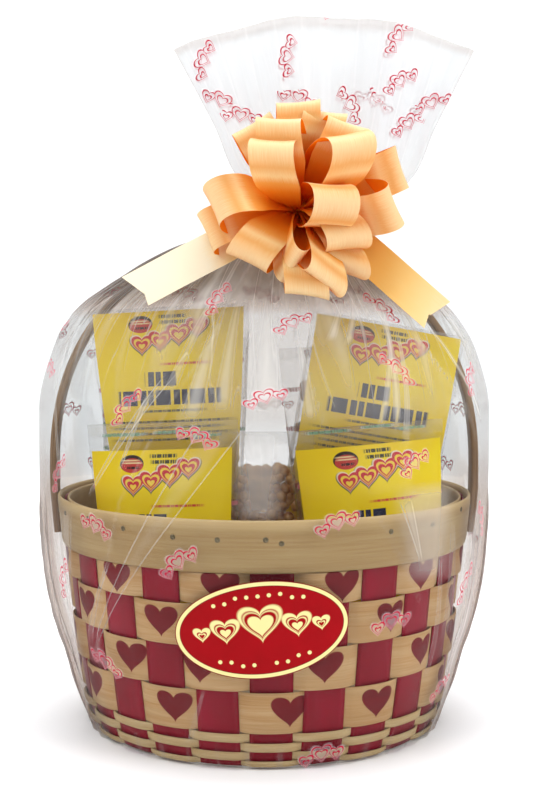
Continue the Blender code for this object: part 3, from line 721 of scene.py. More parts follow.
def pouch_place(x, y, foot, yaw, roll):
    """The matrix that stands a pack in the basket."""
    turn = Matrix.Rotation(math.radians(yaw), 4, "Z") @ Matrix.Rotation(math.radians(roll), 4, "Y")
    return Matrix.Translation((x * MM, y * MM, foot * MM)) @ turn


def pillow_point(size, column, row, side):
    """A point on a filled pouch, for column -1..1 and row 0..1; side -1 is the front."""
    width, height, depth, taper = size
    narrow = 1.0 - taper * (1.0 - row) ** TAPER_CURVE
    belly = math.sqrt(max(0.0, 1.0 - column * column)) * math.sin(math.pi * row) ** 0.6
    return Vector((column * width / 2 * narrow, side * (0.3 + (depth / 2 - 0.6) * belly), row * height)) * MM


def film_shader(tree, haze, milk, normal, gloss, clear):
    """Thin clear plastic: see-through, milky by haze, with a reflection that grows at a grazing angle."""
    through = add(tree, "ShaderNodeBsdfTransparent", {"Color": clear})
    front = add(tree, "ShaderNodeBsdfDiffuse", {"Color": milk, "Normal": normal})
    back = add(tree, "ShaderNodeBsdfTranslucent", {"Color": milk, "Normal": normal})
    milky = add(tree, "ShaderNodeMixShader", (0.5, front, back))
    body = add(tree, "ShaderNodeMixShader", (haze, through, milky))
    edge = add(tree, "ShaderNodeFresnel", {"IOR": 1.4, "Normal": normal})
    shine = add(tree, MATH, (edge, gloss), operation="MULTIPLY", use_clamp=True)
    mirror = add(tree, "ShaderNodeBsdfGlossy", {"Roughness": 0.12, "Normal": normal})
    return add(tree, "ShaderNodeMixShader", (shine, body, mirror))


def patch_mask(tree, across, upward, centre, half, round_one=False):
    """1 inside a rectangle or an ellipse given in millimetres; its edge is soft over 0.3 mm."""
    sides = []
    for value, middle, reach in ((across, centre[0], half[0]), (upward, centre[1], half[1])):
        moved = add(tree, MATH, (value, middle * MM), operation="SUBTRACT")
        moved = add(tree, MATH, (moved, reach * MM), operation="DIVIDE")
        sides.append(add(tree, MATH, (moved,), operation="ABSOLUTE"))
    if round_one:
        squares = add(tree, MATH, (sides[0], sides[0]), operation="MULTIPLY")
        far = add(tree, MATH, (sides[1], sides[1], squares), operation="MULTIPLY_ADD")
    else:
        far = add(tree, MATH, (sides[0], sides[1]), operation="MAXIMUM")
    soft = 0.3 / min(half)
    return add(tree, MAP_RANGE, (far, 1.0 - soft / 2, 1.0 + soft / 2, 1.0, 0.0))


def print_fields(tree, across, upward, fields, colour):
    """Lays fields of ink over a colour, and returns it and where there is ink.

    A field is a row of blocks of uneven width, a plain bar where the pitch is 0, an ellipse where it is None.
    """
    cover = 0.0
    for x, y, half_width, half_height, pitch, ink in fields:
        mask = patch_mask(tree, across, upward, (x, y), (half_width, half_height), pitch is None)
        if pitch:
            cell = add(tree, MATH, (across, pitch * MM), operation="DIVIDE")
            cell = add(tree, MATH, (cell, x * 0.37 + y * 0.11), operation="ADD")
            swell = add(tree, MATH, (cell, 2.1), operation="MULTIPLY")
            swell = add(tree, MATH, (swell,), operation="SINE")
            cell = add(tree, MATH, (swell, 0.3, cell), operation="MULTIPLY_ADD")
            cell = add(tree, MATH, (cell,), operation="FRACT")
            block = add(tree, MATH, (cell, 0.76), operation="LESS_THAN")
            mask = add(tree, MATH, (mask, block), operation="MULTIPLY")
        colour = add(tree, MIX, {FACTOR: mask, UNDER: colour, OVER: linear(ink)}, data_type="RGBA")
        cover = add(tree, MATH, (mask, cover), operation="MAXIMUM")
    return colour, cover


# Small print on the packs' clear film: centre and half size of each field in millimetres, from the middle
# of the print's top edge; then the pitch of its blocks, and its ink.
POUCH_PRINT = [
    (-30, 11, 16, 1, 3.1, "5f9a78"), (8, 12, 12, 0.9, 2.6, "5f9a78"), (34, 9, 10, 0.9, 2.9, "5f9a78"),
    (-50, -26, 6, 1.6, 3.3, "c4606a"), (-50, -58, 6.5, 1.6, 3, "c4606a"), (-49, -84, 7, 1.2, 2.7, "5f9a78"),
    (50, -40, 6, 1.5, 3.1, "c4606a"), (49, -92, 7, 1.2, 2.8, "5f9a78"),
]


def pouch_finish():
    """Clear laminate of the packs: glossy, a little milky, crimped in 2 mm ribs at both seals."""
    material, tree = new_finish("pack_laminate_clear")
    place = add(tree, UV, uv_map="pack")
    across, upward, _ = add(tree, SPLIT, (place,)).outputs
    wrinkle = add(tree, NOISE, {"Vector": place, "Scale": 38.0, "Detail": 2.0, "Distortion": 1.0})
    seal = add(tree, "ShaderNodeAttribute", attribute_name="seal").outputs["Fac"]
    ribs = add(tree, MATH, (upward, math.tau / (2.0 * MM)), operation="MULTIPLY")
    ribs = add(tree, MATH, (ribs,), operation="SINE")
    ribs = add(tree, MATH, (ribs, seal), operation="MULTIPLY")
    height = add(tree, MATH, (ribs, 0.15, wrinkle), operation="MULTIPLY_ADD")
    bump = add(tree, BUMP, {"Height": height, "Strength": 0.35, "Distance": 0.002})
    cloudy = add(tree, MAP_RANGE, (wrinkle, 0.45, 0.75, 0.02, 0.12))
    haze = add(tree, MATH, (seal, 0.08, cloudy), operation="MULTIPLY_ADD")
    film = film_shader(tree, haze, linear("f2f3f3"), bump, 0.5, linear("fafafa"))
    ink, cover = print_fields(tree, across, upward, POUCH_PRINT, linear("ffffff"))
    printed = add(tree, PRINCIPLED, {"Base Color": ink, "Roughness": 0.35})
    strength = add(tree, MATH, (cover, 0.7), operation="MULTIPLY")
    return shown(material, add(tree, "ShaderNodeMixShader", (strength, film, printed)))


# Print of the yellow front, in the same way.
CARD_PRINT = [
    (-20.5, -9.6, 9.4, 6.4, None, "2e1a14"), (-20.2, -10.8, 8.6, 5.2, None, "c23a30"),
    (-21.5, -7.2, 6.2, 0.5, 0, "e9cf9a"), (-20, -9, 6.8, 0.5, 0, "e9cf9a"),
    (-19.5, -12.4, 4.8, 0.9, 2.4, "2e1a14"),
    (4, -4.4, 10, 1.3, 2.7, "3f3a22"), (7, -8.6, 12, 1.3, 2.6, "3f3a22"),
    (14, -40, 18, 0.9, 2.1, "cf4a34"),
    (-6, -51, 12, 5.4, 8.2, "1e2240"), (0, -65, 39, 5.6, 8.6, "1e2240"),
    (2, -75, 24, 0.9, 2.3, "5d5a3a"),
    (0, -83, 44, 0.9, 2.2, "4f4c30"), (-3, -87.5, 41, 0.9, 2.4, "4f4c30"),
    (2, -92, 42, 0.9, 2.1, "4f4c30"), (-6, -96.5, 37, 0.9, 2.3, "4f4c30"),
]
# A slanting row of outlined hearts: centre from the top edge's middle and half width, in millimetres.
CARD_HEARTS = [(-19.5, -27.0, 8.2), (-5.5, -24.5, 8.6), (9.0, -20.5, 9.2), (23.0, -15.5, 8.2)]
# Each heart is printed from its shadow inwards: how much wider it is, how much lower it lies, and its ink.
CARD_HEART_INKS = [
    (1.5, 0.8, "3a3430"), (0.9, 0.0, "f9e9c8"), (0.1, 0.0, "cf2f3c"),
    (-1.9, 0.0, "f6d24a"), (-3.4, 0.0, "cf2f3c"), (-5.6, 0.0, "f6d24a"),
]


def heart_ring(tree, across, upward, centre_x, centre_y, half):
    """1 inside a heart of that middle and half width, in the units of the coordinates."""
    values = []
    for value, centre in ((across, centre_x), (upward, centre_y)):
        moved = add(tree, MATH, (value, centre), operation="SUBTRACT")
        values.append(add(tree, MATH, (moved, half), operation="DIVIDE"))
    return add(tree, MAP_RANGE, (heart_field(tree, *values), 0.9, 1.1, 1.0, 0.0))


def card_finish():
    """Printed pack front: yellow gravure ink under glossy film, with soft wrinkles of some 20 mm."""
    material, tree = new_finish("pack_laminate_yellow_print")
    place = add(tree, UV, uv_map="pack")
    across, upward, _ = add(tree, SPLIT, (place,)).outputs
    shade = add(tree, NOISE, {"Vector": place, "Scale": 14.0, "Detail": 2.0})
    colour = add(tree, RAMP, (shade,), [(0.3, "ecc30a"), (0.7, "f8dc1c")])
    colour, _ = print_fields(tree, across, upward, CARD_PRINT, colour)
    for grown, lower, ink in CARD_HEART_INKS:
        for x, y, half in CARD_HEARTS:
            mask = heart_ring(tree, across, upward, x * MM, (y - lower) * MM, (half + grown) * MM)
            colour = add(tree, MIX, {FACTOR: mask, UNDER: colour, OVER: linear(ink)}, data_type="RGBA")
    wrinkle = add(tree, NOISE, {"Vector": place, "Scale": 30.0, "Detail": 2.0, "Distortion": 0.8})
    return opaque(material, colour, roughness=0.32, specular=0.3, relief=wrinkle, strength=0.3, depth=3 * MM)


def snack_finish(name, dark, light, roughness, coat):
    """Roasted or glazed food: mottled on a scale of about 6 mm, with painted shade darkening its pits."""
    material, tree = new_finish(name)
    place = add(tree, "ShaderNodeTexCoord").outputs["Object"]
    mottle = add(tree, NOISE, {"Vector": place, "Scale": 160.0, "Detail": 4.0})
    # Darker where the bump is low: painted shade in the pits.
    colour = add(tree, RAMP, (mottle,), [(0.35, dark), (0.65, light)])
    flesh = {"Coat Weight": coat, "Subsurface Weight": 0.15, "Subsurface Radius": (0.004, 0.002, 0.001)}
    return opaque(material, colour, roughness, relief=mottle, strength=0.5, depth=1.0 * MM, **flesh)


def snack_tree():
    """One bumpy, waisted snack at every point, each turned and sized by a seeded draw."""
    sockets = [
        ("Size", "NodeSocketVector", (0.017, 0.01, 0.01)),
        ("Waist", "NodeSocketFloat", 0.2),
        ("Bumps", "NodeSocketFloat", 0.3),
        ("Seed", "NodeSocketInt", 1),
    ]
    tree, given = group_tree("snack_fill", sockets)
    ball = add(tree, "GeometryNodeMeshIcoSphere", {"Radius": 0.5, "Subdivisions": 3})
    place = add(tree, "GeometryNodeInputPosition")
    along = add(tree, SPLIT, (place,)).outputs["X"]
    angle = add(tree, MATH, (along, math.tau), operation="MULTIPLY")
    wave = add(tree, MATH, (angle,), operation="COSINE")
    pinch = add(tree, MATH, (wave, given["Waist"]), operation="MULTIPLY")
    thin = add(tree, MATH, (1.0, pinch), operation="SUBTRACT")
    shape = add(tree, "ShaderNodeCombineXYZ", {"X": 1.0, "Y": thin, "Z": thin})
    pinched = add(tree, VECTOR_MATH, (place, shape), operation="MULTIPLY")
    lumps = add(tree, NOISE, {"Vector": place, "Scale": 4.0, "Detail": 1.0})
    lumps = add(tree, MATH, (lumps, given["Bumps"], 0.85), operation="MULTIPLY_ADD")
    lumpy = add(tree, VECTOR_MATH, {"Vector": pinched, "Scale": lumps}, operation="SCALE")
    sized = add(tree, VECTOR_MATH, (lumpy, given["Size"]), operation="MULTIPLY")
    one = add(tree, "GeometryNodeSetPosition", {"Geometry": ball, "Position": sized})
    smooth = add(tree, "GeometryNodeSetShadeSmooth", {"Geometry": one})
    # A random vector's highest value is input 1; a random number's lowest and highest are inputs 2 and 3.
    most = (math.tau, math.tau, math.tau)
    turn = add(tree, RANDOM, {1: most, "Seed": given["Seed"]}, data_type="FLOAT_VECTOR")
    size = add(tree, RANDOM, {2: 0.85, 3: 1.1, "Seed": given["Seed"]}, data_type="FLOAT")
    rotation = add(tree, "FunctionNodeEulerToRotation", (turn,))
    wanted = {"Points": given["Geometry"], "Instance": smooth, "Rotation": rotation, "Scale": size}
    spread = add(tree, "GeometryNodeInstanceOnPoints", wanted)
    return finish_tree(tree, spread, given["Finish"])


def snack_points(size, length, seed):
    """Points inside a pouch on a jittered close grid, so far from its film that no snack pokes through."""
    draw = random.Random(seed)
    width, height = size[:2]
    pitch = length * 0.62
    points = []
    for row in range(int(height * 0.8 / pitch)):
        for column in range(int(width / pitch)):
            x = (column + 0.5 * (row % 2) + draw.uniform(-0.2, 0.2)) * pitch - width / 2 + pitch * 0.6
            z = (row + draw.uniform(-0.2, 0.2)) * pitch + height * 0.1
            share = x / (width / 2 * 0.9)
            if abs(share) >= 0.95 or not 0.06 < z / height < 0.86:
                continue
            room = pillow_point(size, share, z / height, 1.0).y / MM - length * 0.56
            if room > -1.0:
                points.append(Vector((x, max(room, 0.0) * draw.uniform(-1.0, 1.0), z)) * MM)
    return points


def pouch_wall(size, seed, columns=49, rows=61):
    """Both faces of a pouch as one skin, drawn in where the film wrinkles towards its seals."""
    points = []
    seals = []
    for side in (-1.0, 1.0):
        for row, share in lattice(rows, columns):
            near = min(row, 1.0 - row)
            column = 2.0 * share - 1.0
            point = pillow_point(size, column, row, side)
            fold = abs(noise.noise((column * 9.0, row * 1.5, seed + side)))
            room = abs(point.y) / (size[2] / 2 * MM)
            pull = (2.2 * fold * math.exp(-near / 0.16) + 0.9 * fold) * room
            crumple = noise.noise((column * 3.0, row * 4.0, seed * 3.0 + side * 5.0))
            point.y -= side * (pull + 0.8 * abs(crumple) * room) * MM
            points.append(point)
            seals.append(1.0 if near < SEAL_SHARE else 0.0)
    front = grid_faces(columns, rows)
    back = [tuple(reversed(face)) for face in grid_faces(columns, rows, start=columns * rows)]
    return points, front + back, seals


def print_uv(mesh, points, top):
    """A UV map in metres over the pack's face, measured from the middle of the print's top edge."""
    layer = mesh.uv_layers.new(name="pack")
    for loop in mesh.loops:
        point = points[loop.vertex_index]
        layer.data[loop.index].uv = (point.x, point.z - top)


def build_card(name, size, card_top, place, printed, seed):
    columns, rows = 41, 51
    points = []
    for level, share in lattice(rows, columns):
        row = CARD_FOOT + (card_top - CARD_FOOT) * level
        column = CARD_COLUMNS * (2.0 * share - 1.0)
        point = pillow_point(size, column, row, -1.0)
        point.y -= (0.6 - 0.25 * noise.noise((column * 3.0, row * 5.0, seed * 2.0))) * MM
        points.append(point)
    placed = [place @ point for point in points]
    card = new_piece(f"pack_front_{name}", placed, grid_faces(columns, rows), printed)
    print_uv(card.data, points, card_top * size[1] * MM)
    keep_piece(card, "card", f"card_{name}")


def build_packs():
    clear = pouch_finish()
    printed = card_finish()
    tree = snack_tree()
    finishes = {
        "peanut": snack_finish("peanut_honey_roasted", "8f5a26", "c98f4e", 0.5, 0.2),
        "cracker": snack_finish("cracker_rice_baked", "b98a4c", "e3c88f", 0.65, 0.0),
        "gummy": snack_finish("caramel_nut_glazed", "a86a2a", "deaa5e", 0.3, 0.5),
    }
    for number, (name, width, height, depth, *stand, taper, card_top, snack) in enumerate(POUCHES):
        size = (width, height, depth, taper)
        place = pouch_place(*stand)
        points, faces, seals = pouch_wall(size, number + 1)
        skin = new_piece(f"pack_film_{name}", [place @ point for point in points], faces, clear)
        print_uv(skin.data, points, card_top * height * MM)
        marks = skin.data.attributes.new("seal", "FLOAT", "POINT")
        marks.data.foreach_set("value", seals)
        keep_piece(skin, "pouch", f"pouch_{name}")
        length, breadth, thick, waist, bumps = SNACKS[snack]
        spots = snack_points(size, length, number + 11)
        filling = new_piece(f"snacks_{name}", [place @ spot for spot in spots], [], finishes[snack])
        grow(
            filling, tree, size=(length * MM, breadth * MM, thick * MM), waist=waist, bumps=bumps,
            seed=number + 3, finish=finishes[snack],
        )
        keep_piece(filling, "pouch")
        if name in CARDED:
            build_card(name, size, card_top, place, printed, number + 1)


build_packs()

# Film wrap. One clear cellophane sheet is drawn up round the basket and gathered at the neck under a fan.
# It creases where it is pulled in, hangs in folds at the sides and carries small printed hearts.
# Height, half width, half depth and sideways shift of the wrap's rings, in millimetres.
FILM_RINGS = [
    (0, 137, 137, 0), (24, 144.6, 144.6, 0), (56, 153.5, 150.5, 0), (87, 163.6, 154.8, 0),
    (126, 170, 159.5, 0), (180, 173, 164.5, 0), (240, 174, 134, 0),
    (283, 164.5, 104, 0), (312, 148, 80, 0), (341, 112, 56, 3), (365, 75, 33, 10),
    (383, 19, 15, 24), (395, 18, 14, 26), (403, 42, 12, 38), (414, 64.5, 10, 47),
    (456, 85, 9, 47), (514, 115, 9, 46),
]
RING_HEIGHTS, RING_WIDTHS, RING_DEPTHS, RING_SHIFTS = np.array(FILM_RINGS).T
FAN_RISE = 24.0
FAN_START = 456.0
FAN_LENGTH = 58.0
FILM_COLUMNS = 440
FILM_ROWS = 190
PLEATS = 52
FOOT_TUCKS = 41
NECK_LOW = 383.0
NECK_HIGH = 395.0
# Printed motifs that the photo shows: degrees from the front, height in millimetres, tilt in degrees.
MOTIFS = [
    (-57, 500, 70), (-4.5, 518, -12), (-14.5, 495, 80), (31, 507, 50), (10.5, 469, -70),
    (-48, 462, -8), (49.5, 457, 28), (36, 483, 30), (-13.5, 322, 68), (8, 304, 24),
    (35.5, 316, -66), (33.5, 272, -60), (0.5, 253, 16), (-33, 246, 62), (-15.5, 227, -24),
    (-57.5, 197, 60), (37, 208, 26), (-42.5, 164, -20), (16.5, 172, 14), (-19, 145, 32),
    (-57.5, 121, 62), (31.5, 100, 4), (60, 116, 52), (64.5, 263, 48), (-45.5, 65, -24),
    (67.5, 161, -60), (60.5, 37, 12), (16.5, 8, 6), (-89.5, 300, 20), (-75.5, 270, -15),
]
MOTIF_HALF_WIDTH = 16.0
SHEET_RADIUS = 0.17
FILM_MARKS = ("crease", "veil", "stress", "stacking_and_painted_shade")
# Long creases that stand out or dip: degrees and height at both ends, half width and depth in millimetres.
CREASES = [
    (-12, 300, -34, 185, 1.6, 1), (-34, 185, -50, 40, 1.8, 1.2), (-62, 330, -52, 190, 2, 1.4),
    (4, 345, 14, 228, 1.6, 1), (26, 178, 40, 112, 2.4, 1.4), (42, 300, 64, 215, 1.8, 1.4),
    (-78, 172, -70, 18, 2.6, 2.4), (-69, 175, -62, 40, 2, 2), (-86, 170, -82, 10, 2.8, 2.8),
    (-95, 176, -93, 12, 2.8, 2.8), (-104, 168, -106, 14, 2.6, 2.4), (76, 172, 70, 24, 2.4, 2.2),
    (86, 176, 84, 12, 2.8, 2.8), (96, 170, 97, 14, 2.6, 2.4), (108, 172, 104, 30, 2.4, 2),
]
# Stressed wedges where the film whitens: degrees and height at the top and at the bottom, half widths in
# millimetres at both, and how milky the wedge and its edges are.
WEDGES = [
    (-8, 240, -48, 73, 15, 0.6, 0.1, 0.3), (-22.5, 270, -44, 187, 4, 1, 0.1, 0.32),
    (-11.5, 322, -16.5, 240, 2, 7, 0.24, 0.12), (-7.5, 322, -9.5, 246, 2, 6, 0.24, 0.12),
    (-15.5, 322, -22.5, 256, 2, 4.5, 0.2, 0.14), (51, 304, 67, 232, 2, 3.5, 0.42, 0.2),
    (35.5, 331, 31.5, 232, 1.6, 2.8, 0.3, 0.15), (38.5, 331, 27, 232, 1.4, 2.2, 0.26, 0.15),
    (29, 330, 21.5, 290, 1.6, 3, 0.3, 0.12), (23.5, 322, 17, 293, 1.6, 3.6, 0.26, 0.12),
    (1, 326, 0.5, 247, 0.8, 13, 0.42, 0.08), (33.5, 186, 39, 143, 5, 1, 0.14, 0.26),
    (37.5, 300, 34, 222, 1, 2.4, 0.2, 0.2), (-27.5, 256, -34.5, 205, 1.6, 0.8, 0.14, 0.26),
    (-66, 300, -57.5, 200, 1, 2, 0.16, 0.26), (-38, 143, -49.5, 81, 1, 3, 0.12, 0.26),
    (-1, 236, -1, 176, 19, 17, 0.26, 0), (9, 290, 10.5, 240, 1.6, 4, 0.22, 0.12),
    (46, 141, 49, 52, 1.2, 3, 0.08, 0.22),
    (-54, 175, -58, 60, 8, 2, 0.22, 0.25), (50, 168, 53, 80, 2, 6, 0.14, 0.22),
    (62, 170, 64, 30, 9, 3, 0.2, 0.22), (40, 196, 42, 128, 34, 26, 0.3, 0),
    (-15, 59, -21, 17, 0.6, 2, 0.06, 0.16),
]
# The sheet's overlap hangs over the front between two edges: height, then degrees at the left and right.
OVERLAP_EDGES = [
    (383, -40, 40), (320, -11, 38), (296, -13, 44), (232, -21, 62), (185, -34, 72),
]
# The oval label keeps the film under it smooth: its middle and half size on the front, its tilt, and how far
# the film stands out there.
LABEL_CENTRE = (-1.3, 102.2)
LABEL_HALF = (58.4, 33.6)
LABEL_TILT = math.radians(6.5)
FILM_FRONT_AT_LABEL = 166.0


def smooth_through(knots, values, at):
    """Monotone cubic interpolation, so that the film swells and narrows without overshoot."""
    gaps = np.diff(knots)
    slopes = np.diff(values) / gaps
    inner = np.zeros(len(knots))
    same = slopes[:-1] * slopes[1:] > 0.0
    weights = 3.0 * (gaps[:-1] + gaps[1:])
    first = (2.0 * gaps[1:] + gaps[:-1]) / np.where(same, slopes[:-1], 1.0)
    second = (gaps[1:] + 2.0 * gaps[:-1]) / np.where(same, slopes[1:], 1.0)
    inner[1:-1] = np.where(same, weights / np.where(same, first + second, 1.0), 0.0)
    inner[0], inner[-1] = slopes[0], slopes[-1]
    spot = np.clip(np.searchsorted(knots, at, side="right") - 1, 0, len(gaps) - 1)
    share = (at - knots[spot]) / gaps[spot]
    rest = 1.0 - share
    start = values[spot] * (1.0 + 2.0 * share) + inner[spot] * gaps[spot] * share
    end = values[spot + 1] * (3.0 - 2.0 * share) - inner[spot + 1] * gaps[spot] * rest
    return start * rest ** 2 + end * share ** 2


def film_row_heights(count):
    """Row heights at even distances along the wrap's outline, so that the neck is as fine as the wall."""
    fine = np.linspace(RING_HEIGHTS[0], RING_HEIGHTS[-1], 4000)
    outline = smooth_through(RING_HEIGHTS, RING_WIDTHS, fine)
    reach = np.concatenate([[0.0], np.cumsum(np.hypot(np.diff(fine), np.diff(outline)))])
    return np.interp(np.linspace(0.0, reach[-1], count), reach, fine)


def film_base(angle, height):
    """The unfolded wrap: x, y and z in millimetres for arrays of angle and height."""
    width = smooth_through(RING_HEIGHTS, RING_WIDTHS, height)
    across = smooth_through(RING_HEIGHTS, RING_SHIFTS, height) + width * np.sin(angle)
    depth = -smooth_through(RING_HEIGHTS, RING_DEPTHS, height) * np.cos(angle)
    upper = np.clip((height - FAN_START) / FAN_LENGTH, 0.0, 1.0)
    rise = FAN_RISE * upper ** 1.6 * np.cos(angle) ** 2
    return across, depth, height + rise


def ridge(value):
    """A sharp-edged wave from 0 to 1, like paper folded to and fro."""
    return 1.0 - np.abs(2.0 * (value - np.floor(value)) - 1.0)


def turn_between(angle, middle):
    """The turn from one angle to the other, from 0 to half a turn."""
    away = angle - middle
    return np.abs(away - math.tau * np.round(away / math.tau))


def film_folds(angle, height):
    """How far the film is pushed out, in millimetres, and how creased it is from 0 to 1."""
    draw = random.Random(31)
    push = np.zeros_like(angle)
    creased = np.zeros_like(angle)
    spans = smooth_through(RING_HEIGHTS, RING_WIDTHS, height)
    for number in range(PLEATS):
        middle = math.tau * number / PLEATS + draw.uniform(-0.05, 0.05)
        spread = draw.uniform(0.018, 0.05)
        lowest = draw.uniform(225.0, 345.0)
        depth = draw.choice((-1.0, 1.0, 1.0)) * draw.uniform(0.006, 0.02)
        drift = draw.uniform(-0.25, 0.25)
        away = turn_between(angle, middle + drift * smoother(390.0, 250.0, height))
        line = np.clip(1.0 - away / spread, 0.0, 1.0)
        grown = smoother(lowest, lowest + 70.0, height) * smoother(NECK_HIGH + 4.0, NECK_LOW - 8.0, height)
        push += depth * spans * line * grown
        creased += grown * np.clip(1.0 - away / (spread * 0.3), 0.0, 1.0) * draw.uniform(0.2, 0.8)
    for start, top, end, bottom, half, depth in CREASES:
        share = np.clip((top - height) / (top - bottom), -0.3, 1.3)
        away = turn_between(angle, np.radians(start + (end - start) * share)) * spans
        inside = smoother(-0.12, 0.15, share) * smoother(1.12, 0.85, share)
        push += depth * np.clip(1.0 - away / (half * 2.4), 0.0, 1.0) * inside
        creased += np.clip(1.0 - away / max(half * 0.6, 1.6), 0.0, 1.0) * inside * 0.35
    foot = smoother(26.0, 0.0, height)
    tuck = ridge(angle * FOOT_TUCKS / math.tau)
    push -= 1.6 * tuck * foot
    creased += 0.4 * foot * (tuck > 0.86)
    return push, np.clip(creased, 0.0, 1.0)


def label_clearance(angle, height):
    """0 where the oval label holds the film smooth, 1 away from it."""
    across = FILM_FRONT_AT_LABEL * np.sin(angle) - LABEL_CENTRE[0]
    upward = height - LABEL_CENTRE[1]
    turned = across * math.cos(LABEL_TILT) + upward * math.sin(LABEL_TILT)
    raised = upward * math.cos(LABEL_TILT) - across * math.sin(LABEL_TILT)
    far = np.hypot(turned / LABEL_HALF[0], raised / LABEL_HALF[1])
    facing = np.cos(angle) > 0.3
    return np.where(facing, smoother(1.04, 1.35, far), 1.0)


def film_points():
    """The wrap's points in millimetres, their signed angles and heights, and the four marks of the film."""
    heights = film_row_heights(FILM_ROWS)
    angles = np.arange(FILM_COLUMNS) * math.tau / FILM_COLUMNS
    height, angle = np.meshgrid(heights, angles, indexing="ij")
    x, y, z = film_base(angle, height)
    spot = np.stack([x, y, z], axis=-1)
    along = np.roll(spot, -1, axis=1) - np.roll(spot, 1, axis=1)
    upward = np.gradient(spot, axis=0)
    normal = np.cross(along, upward)
    normal /= np.maximum(np.linalg.norm(normal, axis=-1, keepdims=True), 1e-9)
    push, creased = film_folds(angle, height)
    away = label_clearance(angle, height)
    spot += normal * (push * away)[..., None]
    fan = smoother(NECK_HIGH, 450.0, height)
    spot[..., 1] += 5.0 * np.sin(np.sin(angle) * 9.0 + 0.6) * fan
    spot[..., 1] += 1.6 * (ridge(np.sin(angle) * 6.0 + 0.2) - 0.5) * fan
    folds = np.clip(10.0 * (ridge(np.sin(angle) * 5.3 + 0.31) - 0.9), 0.0, 1.0)
    creased = np.maximum(creased * away, 0.16 * fan * folds)
    heights, lefts, rights = np.array(OVERLAP_EDGES[::-1]).T
    left = np.radians(np.interp(height, heights, lefts))
    right = np.radians(np.interp(height, heights, rights))
    signed = (angle + math.pi) % math.tau - math.pi
    doubled = ((signed > left) & (signed < right) & (height > 185.0) & (height < NECK_HIGH)).astype(float)
    round_side = smoother(0.85, 1.2, np.abs(signed)) * smoother(2.4, 1.9, np.abs(signed))
    # Veil, the film's even milkiness: over the packs, where the sheet is double, towards the neck, in the
    # fan, and at the sides.
    veil = 0.005 + 0.07 * smoother(228.0, 250.0, height) + 0.09 * doubled * smoother(228.0, 245.0, height)
    veil += 0.08 * smoother(325.0, 380.0, height) + 0.3 * smoother(385.0, 420.0, height)
    veil += (0.03 + 0.03 * smoother(190.0, 160.0, height)) * round_side * smoother(300.0, 260.0, height)
    # Stress, the share of its streaks that shows: from the packs up to the neck, and low at the sides.
    stress = 0.04 + 0.96 * smoother(225.0, 320.0, height) * smoother(415.0, 392.0, height)
    stress = np.maximum(stress, 0.9 * round_side * smoother(200.0, 150.0, height))
    # Stacking and painted shade, where the clear film's tint darkens to brown: partly where layers lie close,
    # and partly painted shade over the packs, at the neck, in the fan and at the sides, with a painted shadow
    # line along the fan's hem and its two edges.
    stacking_and_painted_shade = 0.42 * smoother(180.0, 225.0, height) * (0.5 + 0.5 * np.cos(angle) ** 2)
    stacking_and_painted_shade = np.maximum(stacking_and_painted_shade, smoother(285.0, 345.0, height)) * smoother(420.0, 395.0, height)
    stacking_and_painted_shade = np.maximum(stacking_and_painted_shade, 0.2 * smoother(395.0, 405.0, height))
    sides = (0.36 + 0.24 * smoother(230.0, 160.0, height)) * round_side
    stacking_and_painted_shade = np.maximum(stacking_and_painted_shade, sides * smoother(395.0, 385.0, height))
    edges = smoother(0.16, 0.09, np.abs(np.cos(angle))) * smoother(396.0, 400.0, height)
    stacking_and_painted_shade = np.maximum(stacking_and_painted_shade, 0.6 * np.minimum(smoother(509.5, 511.5, height) + edges, 1.0))
    return spot, signed, height, {"crease": creased, "veil": veil, "stress": stress * away, "stacking_and_painted_shade": stacking_and_painted_shade}


def motif_places():
    """The motifs of the photo, and a regular scatter of the same kind over the sides and back."""
    places = list(MOTIFS)
    draw = random.Random(5)
    for row, height in enumerate(range(40, 520, 48)):
        if 340 < height < 440:
            continue
        for step in range(5):
            degrees = 105.0 + 37.0 * step + 18.0 * (row % 2) + draw.uniform(-6.0, 6.0)
            if degrees < 258.0:
                signed = degrees - 360.0 if degrees > 180.0 else degrees
                places.append((signed, height, draw.uniform(-25.0, 25.0)))
    return places


def film_print_uv(mesh, spot, corners):
    """A UV map in motif half widths round the nearest motif; each face keeps to one motif."""
    degrees, levels, tilts = np.array(motif_places(), dtype=float).T
    homes = np.radians(degrees)
    centres = np.stack(film_base(homes, levels), axis=1)
    middles = np.empty(len(mesh.polygons) * 3)
    mesh.polygons.foreach_get("center", middles)
    middles = middles.reshape(-1, 3) / MM
    nearest = np.array([np.argmin(((centres - middle) ** 2).sum(axis=1)) for middle in middles])
    chosen = np.repeat(nearest, 4)
    home = homes[chosen]
    tilt = np.radians(tilts)[chosen]
    offset = spot.reshape(-1, 3)[corners] - centres[chosen]
    sideways = offset[:, 0] * np.cos(home) + offset[:, 1] * np.sin(home)
    fan = centres[chosen][:, 2] > NECK_HIGH
    sideways = np.where(fan, offset[:, 0] * np.sign(np.cos(home)), sideways)
    inward = offset[:, 1] * np.cos(home) - offset[:, 0] * np.sin(home)
    upward = offset[:, 2] + np.where(fan, 0.0, inward * 0.35)
    turned = sideways * np.cos(tilt) + upward * np.sin(tilt)
    raised = upward * np.cos(tilt) - sideways * np.sin(tilt)
    layer = mesh.uv_layers.new(name="print")
    layer.data.foreach_set("uv", np.stack([turned, raised], axis=1).ravel() / MOTIF_HALF_WIDTH)


